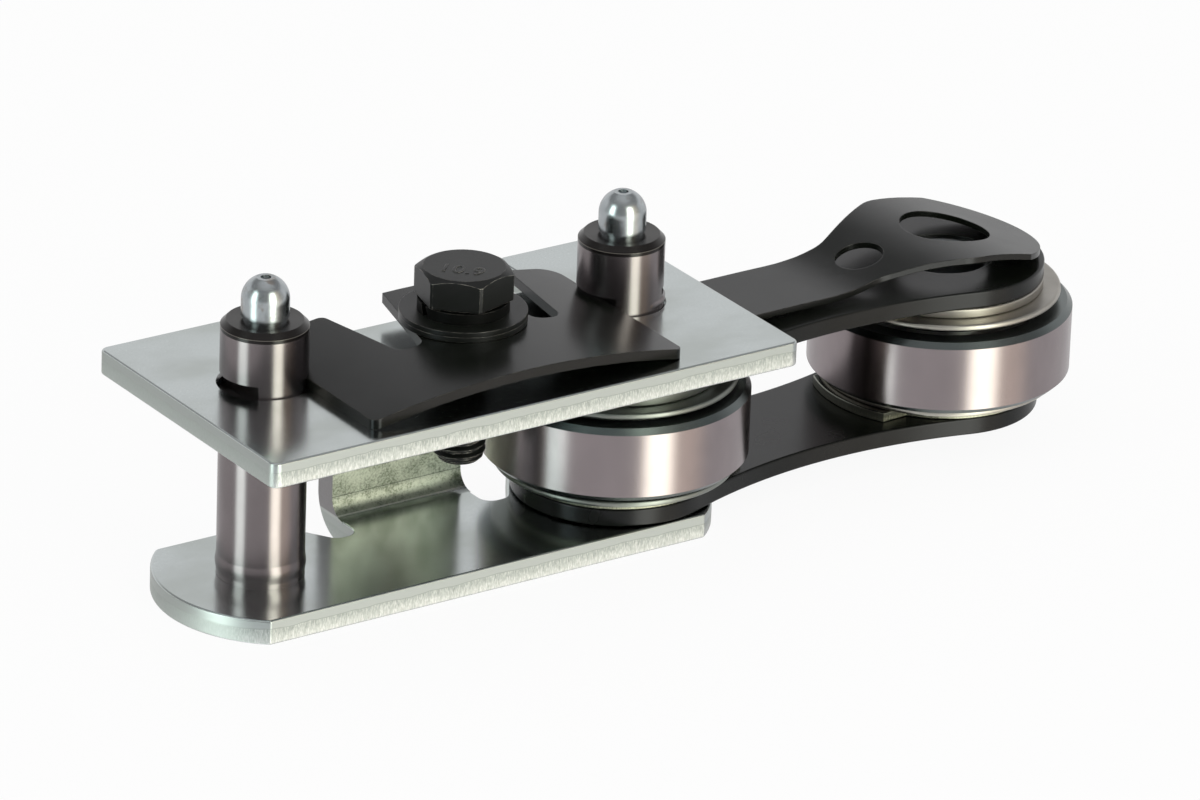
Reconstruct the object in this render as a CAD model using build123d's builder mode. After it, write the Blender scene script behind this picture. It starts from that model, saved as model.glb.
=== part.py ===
"""Section of roller conveyor chain: one removable outer link and one roller inner link.

The chain axis runs along X, the pins stand along Z, and Y points to the back, where the
bottom plate's upright tab is. The origin lies midway between the two pins of the outer
link, on the underside of the bottom plate. All lengths are in millimetres, angles in degrees.
"""

import os
from math import cos, radians, sin, sqrt, tan

from build123d import *

os.makedirs("parts", exist_ok=True)

# ---------------------------------------------------------------- driving dimensions
# chain
pitch = 80.0  # between neighbouring pin axes, in both links
inner_link_swing = 3.0  # the inner link stands this far off the chain axis
running_clearance = 0.06  # radial, pin in bushing
seat_clearance = 0.03  # radial, parts pushed onto a bushing or a pin
side_clearance = 0.3  # between faces that slide past each other

# outer link plates
plate_thickness = 5.0
plate_gap = 34.0  # clear height between the two outer plates
plate_edge_radius = 0.5
top_plate_corner_radius = 1.8
top_plate_overhang = 18.8  # beyond each pin axis
top_plate_front = 33.7  # chain axis to front edge
top_plate_back = 28.8  # chain axis to back edge
recess_width = 61.0
recess_depth = 16.1
recess_corner_radius = 3.0
pin_hole_clearance = 0.1
pin_hole_chamfer = 0.5

bottom_plate_front = 20.0  # chain axis to front edge
bottom_plate_back = 18.5  # chain axis to back edge
bottom_left_overhang = 20.0  # beyond the left pin axis
bottom_right_overhang = 18.0  # beyond the middle pin axis
bottom_plate_end_radius = 25.0
bottom_front_corner_radius = 0.5
bottom_back_corner_radius = 2.0

# upright tab of the bottom plate, with a relief notch at each side
tab_width = 29.2
tab_outer_y = 20.0  # chain axis to its outer face
tab_height = 33.0
tab_bend_radius = 3.7  # inside
tab_top_radius = 4.0
relief_floor = 5.7  # chain axis to the floor of a relief notch
relief_floor_width = 4.7
relief_mouth_width = 12.9
relief_radius = 2.5

# pins
pin_diameter = 16.8
pin_above_plate = 12.85
pin_chamfer = 1.1
middle_pin_rise = 1.2  # the middle pin stands higher in its slip fit
notch_wall = 5.2  # pin axis to the flat wall of a locking notch
notch_height = 4.0
notch_above_plate = 2.35  # top of the notch over the top plate
grease_bore = 3.0
nipple_thread = 6.0
nipple_thread_depth = 7.0

# grease nipple
nipple_diameter = 9.2
nipple_neck_diameter = 8.2
nipple_neck_height = 0.8
nipple_cylinder_height = 3.3
nipple_mouth = 2.0
nipple_mouth_wall = 1.1
nipple_cavity = 4.4
nipple_ring_diameter = 3.6
nipple_ring_depth = 0.35
check_ball_diameter = 3.6
check_ball_gap = 0.06
nipple_spring_wire = 0.5
nipple_spring_turns = 4
nipple_spring_diameter = 2.8  # to the middle of the wire
nipple_crimp_height = 0.8
nipple_spring_seat = 0.75  # of the ball radius, centre of the ball down to the spring

# locking spring plate
lock_thickness = 2.0
lock_rise = 3.35  # of its arch over the top plate
lock_end_clearance = 0.2
lock_front = 29.8  # chain axis to front edge
lock_left_back = 12.4  # chain axis to the end of the left arm
lock_right_back = 15.2  # chain axis to the end of the right arm
lock_tongue_back = 14.5  # chain axis to the tip of the tongue
lock_tongue_root = 12.8  # half width of the tongue at the slot floor
lock_tongue_tip = 6.9  # half width of the tongue at its tip
lock_slot_floor = 9.4  # chain axis to the floor of the slots
lock_slot_root = 18.3  # bolt axis to the outer wall of a slot, at the floor
lock_slot_taper = 8.75  # lean of that outer wall
lock_corner_radius = 4.0
lock_front_radius = 1.8
lock_slot_radius = 2.6
lock_arm_radius = 1.5

# fastener of the locking plate
bolt_x = 2.2
bolt_y = -3.0
bolt_diameter = 10.0
bolt_length = 33.0
bolt_end_chamfer = 1.2
hex_across_flats = 16.8
hex_turn = 16.8
bolt_head_height = 6.4
bolt_face_height = 0.4
bolt_face_diameter = 15.6
hex_chamfer_angle = 30.0
hex_chamfer_inset = 0.4  # crown edge inside the flats
washer_diameter = 24.5
washer_thickness = 1.0
washer_bore = 10.5
spring_washer_diameter = 17.6
spring_washer_thickness = 2.2
spring_washer_split = 1.6
spring_washer_slant = 20.0
nut_height = 8.0
nut_chamfer = 0.6
bolt_hole_clearance = 0.5

# inner link plates
link_plate_thickness = 3.5
link_plate_end_radius = 20.0
link_plate_waist = 13.6  # half width at the middle
link_plate_edge_radius = 0.4

# rollers: ball bearings whose outer ring runs on the track
bearing_diameter = 52.0
bearing_width = 15.0
bearing_bore = 20.0
bearing_chamfer = 1.1
inner_ring_diameter = 28.6
outer_ring_bore = 42.4
ball_count = 7
ball_circle = 35.5
ball_diameter = 9.4
ball_clearance = 0.2
bearing_play = 1.4  # axial, between the hubs of its two shields
cage_wall = 2.6  # radial, centred on the ball circle
cage_width = 12.2
cage_pocket_clearance = 0.25

# discs between bearing and link plates
shield_diameter = 47.0
shield_thickness = 1.2
shield_edge_radius = 0.45
shield_hub_diameter = 27.0
spacer_diameter = 40.0
spacer_thickness = 2.0
spacer_lug_radius = 25.0
spacer_lug_width = 22.4
spacer_edge_radius = 0.3
bushing_recess = 0.5  # bushing ends below the outer faces of the link plates
bushing_chamfer = 0.6

# leaf spring on the upper link plate
leaf_thickness = 1.2
leaf_waist = 9.6  # half width between the joints
leaf_head_half_width = 17.2
leaf_end_radius = 19.0
leaf_flare_start = 23.5  # waist end, from the joint axis
leaf_flare_end = 6.2  # full width, from the joint axis
leaf_flare_radius = 9.0
leaf_pin_hole = 18.0
leaf_round_hole = 9.5
leaf_round_hole_place = 21.3  # from the joint axis
leaf_middle_lift = 1.1  # under the leaf between the joints
leaf_head_lift = 5.3  # under the crown of the free head
leaf_crown_place = 6.5  # crown of the free head, from its joint axis
leaf_seat = 0.05  # under the ends of the leaf
leaf_tail_share = 0.75  # of the pressed lift, halfway out to the fixed end
leaf_foot_share = 1.15  # of the middle lift, where the free arch starts
leaf_shoulder_share = 0.87  # of the crown's lift, at the shoulder before it
leaf_shoulder_place = 8.5  # shoulder, inward from the crown
leaf_nose_share = 0.63  # of the crown's lift, as far beyond the joint axis

# ---------------------------------------------------------------- worked-out places
half_pitch = pitch / 2
pin_radius = pin_diameter / 2
left_pin_x = -half_pitch
middle_pin_x = half_pitch

top_plate_z = plate_thickness + plate_gap
top_face_z = top_plate_z + plate_thickness
pin_top_z = top_face_z + pin_above_plate
tab_half_width = tab_width / 2
tab_inner_y = tab_outer_y - plate_thickness
tab_bend_y = tab_inner_y - tab_bend_radius

lower_link_z = plate_thickness + side_clearance
lower_link_top_z = lower_link_z + link_plate_thickness
lower_shield_z = lower_link_top_z + spacer_thickness
shield_step = side_clearance  # the shield's hub keeps its rim clear of the outer ring
bearing_rest_z = lower_shield_z + shield_thickness + shield_step
bearing_middle_z = bearing_rest_z + (bearing_play + bearing_width) / 2
upper_hub_z = bearing_rest_z + bearing_play + bearing_width
upper_shield_z = upper_hub_z + shield_step
upper_spacer_z = upper_shield_z + shield_thickness
upper_link_z = upper_spacer_z + spacer_thickness
upper_link_top_z = upper_link_z + link_plate_thickness
leaf_room = top_plate_z - upper_link_top_z

lock_half_length = half_pitch - notch_wall - lock_end_clearance
lock_crest_z = top_face_z + lock_rise + lock_thickness
lock_slot_lean = tan(radians(lock_slot_taper))
lock_left_mouth = lock_slot_root + (lock_slot_floor + lock_left_back) * lock_slot_lean
lock_right_mouth = lock_slot_root + (lock_slot_floor + lock_right_back) * lock_slot_lean
lower_washer_z = lock_crest_z
upper_washer_z = lower_washer_z + washer_thickness
spring_washer_z = upper_washer_z + washer_thickness
bolt_head_z = spring_washer_z + spring_washer_thickness
bolt_top_z = bolt_head_z + bolt_head_height
nut_z = top_plate_z - nut_height

bushing_radius = bearing_bore / 2
bushing_seat = bushing_radius + seat_clearance
bushing_bore_radius = pin_radius + running_clearance

# the inner link's own frame: its origin is the middle pin's axis, x runs along the link
inner_link = Plane(
    origin=(middle_pin_x, 0, 0),
    x_dir=(cos(radians(inner_link_swing)), sin(radians(inner_link_swing)), 0),
    z_dir=(0, 0, 1),
)
joint_places = {"middle": 0.0, "end": pitch}
# the middle bearing stands halfway in its play, the end one rests on its lower shield
bearing_bottoms = {"middle": bearing_rest_z + bearing_play / 2, "end": bearing_rest_z}


def save(part, name):
    """Label a finished piece and write it to its own STEP file."""
    part.label = name
    export_step(part, f"parts/{name}.step")


def on_link(x, z):
    """Plane square to the pins, at distance x along the inner link and height z."""
    return Plane(
        origin=inner_link.from_local_coords(Vector(x, 0, z)),
        x_dir=inner_link.x_dir,
        z_dir=(0, 0, 1),
    )


def upright_on_link(x):
    """Plane through a joint axis of the inner link: local x along the link, local y up."""
    return Plane(
        origin=inner_link.from_local_coords(Vector(x, 0, 0)),
        x_dir=inner_link.x_dir,
        z_dir=-inner_link.y_dir,
    )


# ---------------------------------------------------------------- outer link plates
bottom_left_x = -half_pitch - bottom_left_overhang
bottom_right_x = half_pitch + bottom_right_overhang
front_corner_inset = bottom_plate_end_radius - sqrt(
    bottom_plate_end_radius**2 - bottom_plate_front**2
)
back_corner_inset = bottom_plate_end_radius - sqrt(
    bottom_plate_end_radius**2 - bottom_plate_back**2
)
relief_floor_x = tab_half_width + relief_floor_width
relief_mouth_x = tab_half_width + relief_mouth_width

with BuildPart() as bottom_link_plate:
    with BuildSketch() as bottom_outline:
        with BuildLine():
            Polyline(
                (bottom_right_x - back_corner_inset, bottom_plate_back),
                (relief_mouth_x, bottom_plate_back),
                (relief_floor_x, relief_floor),
                (tab_half_width, relief_floor),
                (tab_half_width, tab_bend_y),
                (-tab_half_width, tab_bend_y),
                (-tab_half_width, relief_floor),
                (-relief_floor_x, relief_floor),
                (-relief_mouth_x, bottom_plate_back),
                (bottom_left_x + back_corner_inset, bottom_plate_back),
            )
            ThreePointArc(
                (bottom_left_x + back_corner_inset, bottom_plate_back),
                (bottom_left_x, 0),
                (bottom_left_x + front_corner_inset, -bottom_plate_front),
            )
            Line(
                (bottom_left_x + front_corner_inset, -bottom_plate_front),
                (bottom_right_x - front_corner_inset, -bottom_plate_front),
            )
            ThreePointArc(
                (bottom_right_x - front_corner_inset, -bottom_plate_front),
                (bottom_right_x, 0),
                (bottom_right_x - back_corner_inset, bottom_plate_back),
            )
        make_face()
        relief_corners = bottom_outline.vertices().filter_by(
            lambda v: abs(v.Y - relief_floor) < 0.01
        )
        fillet(relief_corners, relief_radius)
        back_corners = bottom_outline.vertices().filter_by(
            lambda v: v.Y > bottom_plate_back - 0.01
        )
        fillet(back_corners, bottom_back_corner_radius)
        front_corners = bottom_outline.vertices().filter_by(
            lambda v: v.Y < 0.01 - bottom_plate_front
        )
        fillet(front_corners, bottom_front_corner_radius)
    extrude(amount=plate_thickness)
    rim = bottom_link_plate.faces().filter_by(Axis.Z).edges()
    root = rim.filter_by(lambda e: abs(e.center().Y - tab_bend_y) < 0.01)
    fillet(rim - root, plate_edge_radius)
    with BuildSketch(Plane.YZ.offset(-tab_half_width)):
        with BuildLine():
            RadiusArc(
                (tab_bend_y, 0),
                (tab_outer_y, tab_bend_radius + plate_thickness),
                -(tab_bend_radius + plate_thickness),
            )
            Polyline(
                (tab_outer_y, tab_bend_radius + plate_thickness),
                (tab_outer_y, tab_height),
                (tab_inner_y, tab_height),
                (tab_inner_y, plate_thickness + tab_bend_radius),
            )
            RadiusArc(
                (tab_inner_y, plate_thickness + tab_bend_radius),
                (tab_bend_y, plate_thickness),
                tab_bend_radius,
            )
            Line((tab_bend_y, plate_thickness), (tab_bend_y, 0))
        make_face()
    extrude(amount=tab_width)
    tab_top_corners = (
        bottom_link_plate.edges()
        .filter_by(Axis.Y)
        .group_by(Axis.Z)[-1]
    )
    fillet(tab_top_corners, tab_top_radius)
    with BuildSketch():
        with Locations((left_pin_x, 0), (middle_pin_x, 0)):
            Circle(pin_radius + seat_clearance)
    extrude(amount=plate_thickness, mode=Mode.SUBTRACT)
save(bottom_link_plate.part, "bottom_link_plate")

top_plate_half_length = half_pitch + top_plate_overhang
recess_y = top_plate_back - recess_depth
with BuildPart() as top_link_plate:
    with BuildSketch(Plane.XY.offset(top_plate_z)) as top_outline:
        with BuildLine():
            Polyline(
                (-top_plate_half_length, -top_plate_front),
                (top_plate_half_length, -top_plate_front),
                (top_plate_half_length, top_plate_back),
                (recess_width / 2, top_plate_back),
                (recess_width / 2, recess_y),
                (-recess_width / 2, recess_y),
                (-recess_width / 2, top_plate_back),
                (-top_plate_half_length, top_plate_back),
                close=True,
            )
        make_face()
        recess_corners = top_outline.vertices().filter_by(
            lambda v: abs(v.Y - recess_y) < 0.01
        )
        fillet(recess_corners, recess_corner_radius)
        plate_corners = top_outline.vertices().filter_by(
            lambda v: v.Y > top_plate_back - 0.01 or v.Y < 0.01 - top_plate_front
        )
        fillet(plate_corners, top_plate_corner_radius)
    extrude(amount=plate_thickness)
    fillet(top_link_plate.faces().filter_by(Axis.Z).edges(), plate_edge_radius)
    with BuildSketch(Plane.XY.offset(top_plate_z)):
        with Locations((left_pin_x, 0), (middle_pin_x, 0)):
            Circle(pin_radius + pin_hole_clearance)
        with Locations((bolt_x, bolt_y)):
            Circle(bolt_diameter / 2 + bolt_hole_clearance)
    extrude(amount=plate_thickness, mode=Mode.SUBTRACT)
    pin_hole_rims = (
        top_link_plate.faces()
        .sort_by(Axis.Z)[-1]
        .edges()
        .filter_by(GeomType.CIRCLE)
        .filter_by(lambda e: e.radius > pin_radius)
    )
    chamfer(pin_hole_rims, pin_hole_chamfer)
save(top_link_plate.part, "top_link_plate")

# ---------------------------------------------------------------- pins and grease nipples
nipple_top = nipple_neck_height + nipple_cylinder_height + nipple_diameter / 2
cavity_top = nipple_top - nipple_mouth_wall
seat_drop = sqrt((check_ball_diameter / 2) ** 2 - (nipple_mouth / 2) ** 2)
check_ball_z = cavity_top - seat_drop - check_ball_gap
nipple_foot = -nipple_thread_depth
spring_foot = nipple_foot + nipple_crimp_height
spring_top = check_ball_z - nipple_spring_seat * check_ball_diameter / 2

for side, pin_x, rise in (("left", left_pin_x, 0.0), ("middle", middle_pin_x, middle_pin_rise)):
    axis_plane = Plane(origin=(pin_x, 0, 0), x_dir=(1, 0, 0), z_dir=(0, -1, 0))
    head_z = pin_top_z + rise

    with BuildPart() as chain_pin:
        with BuildSketch(Plane(origin=(pin_x, 0, rise))):
            Circle(pin_radius)
        extrude(amount=pin_top_z)
        chamfer(chain_pin.faces().sort_by(Axis.Z)[-1].edges(), pin_chamfer)
        chamfer(chain_pin.faces().sort_by(Axis.Z)[0].edges(), pin_hole_chamfer)
        notch_roof = top_face_z + notch_above_plate + rise
        with BuildSketch(Plane(origin=(pin_x, 0, notch_roof - notch_height))):
            with Locations((-notch_wall, 0)):
                Rectangle(pin_radius, pin_diameter, align=(Align.MAX, Align.CENTER))
            with Locations((notch_wall, 0)):
                Rectangle(pin_radius, pin_diameter, align=(Align.MIN, Align.CENTER))
        extrude(amount=notch_height, mode=Mode.SUBTRACT)
        with BuildSketch(Plane(origin=(pin_x, 0, head_z))):
            Circle(nipple_thread / 2)
        extrude(amount=-nipple_thread_depth, mode=Mode.SUBTRACT)
        grease_outlet_z = bearing_middle_z + rise
        with BuildSketch(Plane(origin=(pin_x, 0, grease_outlet_z))):
            Circle(grease_bore / 2)
        extrude(amount=head_z - grease_outlet_z, mode=Mode.SUBTRACT)
        with BuildSketch(Plane(origin=(pin_x, 0, grease_outlet_z), z_dir=(0, 1, 0))):
            Circle(grease_bore / 2)
        extrude(amount=pin_radius, mode=Mode.SUBTRACT)
    save(chain_pin.part, f"{side}_pin")

    with BuildPart() as grease_nipple:
        with BuildSketch(axis_plane) as nipple_profile:
            with BuildLine():
                Polyline(
                    (nipple_mouth / 2, head_z + cavity_top),
                    (nipple_mouth / 2, head_z + nipple_top - nipple_ring_depth),
                    (nipple_ring_diameter / 2, head_z + nipple_top - nipple_ring_depth),
                )
                RadiusArc(
                    (nipple_ring_diameter / 2, head_z + nipple_top - nipple_ring_depth),
                    (nipple_diameter / 2, head_z + nipple_neck_height + nipple_cylinder_height),
                    nipple_diameter / 2,
                )
                Polyline(
                    (nipple_diameter / 2, head_z + nipple_neck_height + nipple_cylinder_height),
                    (nipple_diameter / 2, head_z + nipple_neck_height),
                    (nipple_neck_diameter / 2, head_z + nipple_neck_height),
                    (nipple_neck_diameter / 2, head_z),
                    (nipple_thread / 2 - seat_clearance, head_z),
                    (nipple_thread / 2 - seat_clearance, head_z + nipple_foot),
                    (grease_bore / 2 - seat_clearance, head_z + nipple_foot),
                    (grease_bore / 2 - seat_clearance, head_z + spring_foot),
                    (nipple_cavity / 2, head_z + spring_foot),
                    (nipple_cavity / 2, head_z + cavity_top),
                    (nipple_mouth / 2, head_z + cavity_top),
                )
            make_face()
        revolve(axis=Axis((pin_x, 0, 0), (0, 0, 1)))
    save(grease_nipple.part, f"{side}_grease_nipple")

    with BuildPart(Plane(origin=(pin_x, 0, head_z + check_ball_z))) as check_ball:
        Sphere(check_ball_diameter / 2)
    save(check_ball.part, f"{side}_check_ball")

    spring_height = spring_top - spring_foot - nipple_spring_wire
    with BuildPart() as nipple_spring:
        with BuildLine(Plane(origin=(pin_x, 0, head_z + spring_foot + nipple_spring_wire / 2))):
            coil = Helix(
                pitch=spring_height / nipple_spring_turns,
                height=spring_height,
                radius=nipple_spring_diameter / 2,
            )
        with BuildSketch(Plane(origin=coil @ 0, z_dir=coil % 0)):
            Circle(nipple_spring_wire / 2)
        sweep(path=coil, is_frenet=True)
    save(nipple_spring.part, f"{side}_nipple_spring")

# ---------------------------------------------------------------- locking spring plate
with BuildPart() as locking_spring_plate:
    with BuildSketch(Plane.XZ.offset(lock_front)):
        with BuildLine():
            ThreePointArc(
                (-lock_half_length, top_face_z),
                (0, top_face_z + lock_rise),
                (lock_half_length, top_face_z),
            )
            Line(
                (lock_half_length, top_face_z),
                (lock_half_length, top_face_z + lock_thickness),
            )
            ThreePointArc(
                (lock_half_length, top_face_z + lock_thickness),
                (0, lock_crest_z),
                (-lock_half_length, top_face_z + lock_thickness),
            )
            Line(
                (-lock_half_length, top_face_z + lock_thickness),
                (-lock_half_length, top_face_z),
            )
        make_face()
    extrude(amount=-(lock_front + lock_right_back))
    with BuildSketch(Plane.XY.offset(top_face_z)) as lock_outline:
        with BuildLine():
            Polyline(
                (-lock_half_length, -lock_front),
                (lock_half_length, -lock_front),
                (lock_half_length, lock_right_back),
                (bolt_x + lock_right_mouth, lock_right_back),
                (bolt_x + lock_slot_root, -lock_slot_floor),
                (bolt_x + lock_tongue_root, -lock_slot_floor),
                (bolt_x + lock_tongue_tip, lock_tongue_back),
                (bolt_x - lock_tongue_tip, lock_tongue_back),
                (bolt_x - lock_tongue_root, -lock_slot_floor),
                (bolt_x - lock_slot_root, -lock_slot_floor),
                (bolt_x - lock_left_mouth, lock_left_back),
                (-lock_half_length, lock_left_back),
                close=True,
            )
        make_face()
        slot_floor = lock_outline.vertices().filter_by(
            lambda v: abs(v.Y + lock_slot_floor) < 0.01
        )
        fillet(slot_floor, lock_slot_radius)
        front_corners = lock_outline.vertices().filter_by(lambda v: v.Y < 0.01 - lock_front)
        fillet(front_corners, lock_front_radius)
        outer_back = lock_outline.vertices().filter_by(
            lambda v: v.Y > 0 and abs(v.X) > lock_half_length - 0.01
        )
        fillet(outer_back, lock_corner_radius)
        arm_corners = lock_outline.vertices().filter_by(
            lambda v: v.Y > 0
            and (abs(v.X - bolt_x - lock_right_mouth) < 0.01 or abs(v.X - bolt_x + lock_left_mouth) < 0.01)
        )
        fillet(arm_corners, lock_arm_radius)
        with Locations((bolt_x, bolt_y)):
            Circle(bolt_diameter / 2 + bolt_hole_clearance, mode=Mode.SUBTRACT)
    extrude(amount=lock_rise + lock_thickness, mode=Mode.INTERSECT)
save(locking_spring_plate.part, "locking_spring_plate")

# ---------------------------------------------------------------- bolt, washers and nut
bolt_radius = bolt_diameter / 2
hex_radius = hex_across_flats / 2
hex_corner_radius = hex_radius / cos(radians(30))
head_crown_radius = hex_radius - hex_chamfer_inset
head_crown_drop = (hex_corner_radius - head_crown_radius) * tan(radians(hex_chamfer_angle))
bolt_section = Plane(origin=(bolt_x, bolt_y, 0), x_dir=(1, 0, 0), z_dir=(0, -1, 0))
bolt_axis = Axis((bolt_x, bolt_y, 0), (0, 0, 1))

with BuildPart() as hex_bolt:
    with BuildSketch(Plane(origin=(bolt_x, bolt_y, bolt_head_z + bolt_face_height))):
        RegularPolygon(hex_radius, 6, major_radius=False, rotation=hex_turn)
    extrude(amount=bolt_head_height - bolt_face_height)
    with BuildSketch(bolt_section):
        with BuildLine():
            Polyline(
                (0, bolt_head_z + bolt_face_height),
                (hex_corner_radius, bolt_head_z + bolt_face_height),
                (hex_corner_radius, bolt_top_z - head_crown_drop),
                (head_crown_radius, bolt_top_z),
                (0, bolt_top_z),
                close=True,
            )
        make_face()
    revolve(axis=bolt_axis, mode=Mode.INTERSECT)
    with BuildSketch(bolt_section):
        with BuildLine():
            Polyline(
                (0, bolt_head_z + bolt_face_height),
                (bolt_face_diameter / 2, bolt_head_z + bolt_face_height),
                (bolt_face_diameter / 2, bolt_head_z),
                (bolt_radius, bolt_head_z),
                (bolt_radius, bolt_head_z - bolt_length + bolt_end_chamfer),
                (bolt_radius - bolt_end_chamfer, bolt_head_z - bolt_length),
                (0, bolt_head_z - bolt_length),
                close=True,
            )
        make_face()
    revolve(axis=bolt_axis)
save(hex_bolt.part, "hex_bolt")

for name, washer_z in (("lower_washer", lower_washer_z), ("upper_washer", upper_washer_z)):
    with BuildPart() as flat_washer:
        with BuildSketch(Plane(origin=(bolt_x, bolt_y, washer_z))):
            Circle(washer_diameter / 2)
            Circle(washer_bore / 2, mode=Mode.SUBTRACT)
        extrude(amount=washer_thickness)
    save(flat_washer.part, name)

with BuildPart() as spring_washer:
    with BuildSketch(Plane(origin=(bolt_x, bolt_y, spring_washer_z))):
        Circle(spring_washer_diameter / 2)
        Circle(washer_bore / 2, mode=Mode.SUBTRACT)
    extrude(amount=spring_washer_thickness)
    split_plane = Plane(
        origin=(bolt_x, bolt_y, spring_washer_z + spring_washer_thickness / 2),
        x_dir=(0, 1, 0),
        z_dir=(-1, 0, 0),
    )
    with BuildSketch(split_plane):
        Rectangle(spring_washer_split, spring_washer_thickness * 2, rotation=spring_washer_slant)
    extrude(amount=spring_washer_diameter / 2, mode=Mode.SUBTRACT)
save(spring_washer.part, "spring_washer")

with BuildPart() as lock_nut:
    with BuildSketch(Plane(origin=(bolt_x, bolt_y, nut_z))):
        RegularPolygon(hex_radius, 6, major_radius=False)
        Circle(bolt_radius + seat_clearance, mode=Mode.SUBTRACT)
    extrude(amount=nut_height)
    with BuildSketch(bolt_section):
        with BuildLine():
            Polyline(
                (0, nut_z),
                (hex_radius, nut_z),
                (hex_corner_radius, nut_z + nut_chamfer),
                (hex_corner_radius, nut_z + nut_height),
                (0, nut_z + nut_height),
                close=True,
            )
        make_face()
    revolve(axis=bolt_axis, mode=Mode.INTERSECT)
save(lock_nut.part, "lock_nut")

# ---------------------------------------------------------------- inner link plates
# Each side of the waist is one arc, tangent to both round ends.
end_drop = link_plate_end_radius - link_plate_waist
waist_radius = (half_pitch**2 + link_plate_waist**2 - link_plate_end_radius**2) / (2 * end_drop)
waist_centre = link_plate_waist + waist_radius
touch = link_plate_end_radius / (link_plate_end_radius + waist_radius)
touch_x = half_pitch * touch
touch_y = waist_centre * touch

for name, link_z in (("lower_link_plate", lower_link_z), ("upper_link_plate", upper_link_z)):
    with BuildPart() as link_plate:
        with BuildSketch(on_link(0, link_z)):
            with BuildLine():
                ThreePointArc(
                    (touch_x, touch_y),
                    (-link_plate_end_radius, 0),
                    (touch_x, -touch_y),
                )
                ThreePointArc(
                    (touch_x, -touch_y),
                    (half_pitch, -link_plate_waist),
                    (pitch - touch_x, -touch_y),
                )
                ThreePointArc(
                    (pitch - touch_x, -touch_y),
                    (pitch + link_plate_end_radius, 0),
                    (pitch - touch_x, touch_y),
                )
                ThreePointArc(
                    (pitch - touch_x, touch_y),
                    (half_pitch, link_plate_waist),
                    (touch_x, touch_y),
                )
            make_face()
        extrude(amount=link_plate_thickness)
        fillet(link_plate.faces().filter_by(Axis.Z).edges(), link_plate_edge_radius)
        with BuildSketch(on_link(0, link_z)):
            with Locations((0, 0), (pitch, 0)):
                Circle(bushing_seat)
        extrude(amount=link_plate_thickness, mode=Mode.SUBTRACT)
    save(link_plate.part, name)

# ---------------------------------------------------------------- joints of the inner link
race_radius = ball_diameter / 2 + ball_clearance
ball_circle_radius = ball_circle / 2

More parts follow.
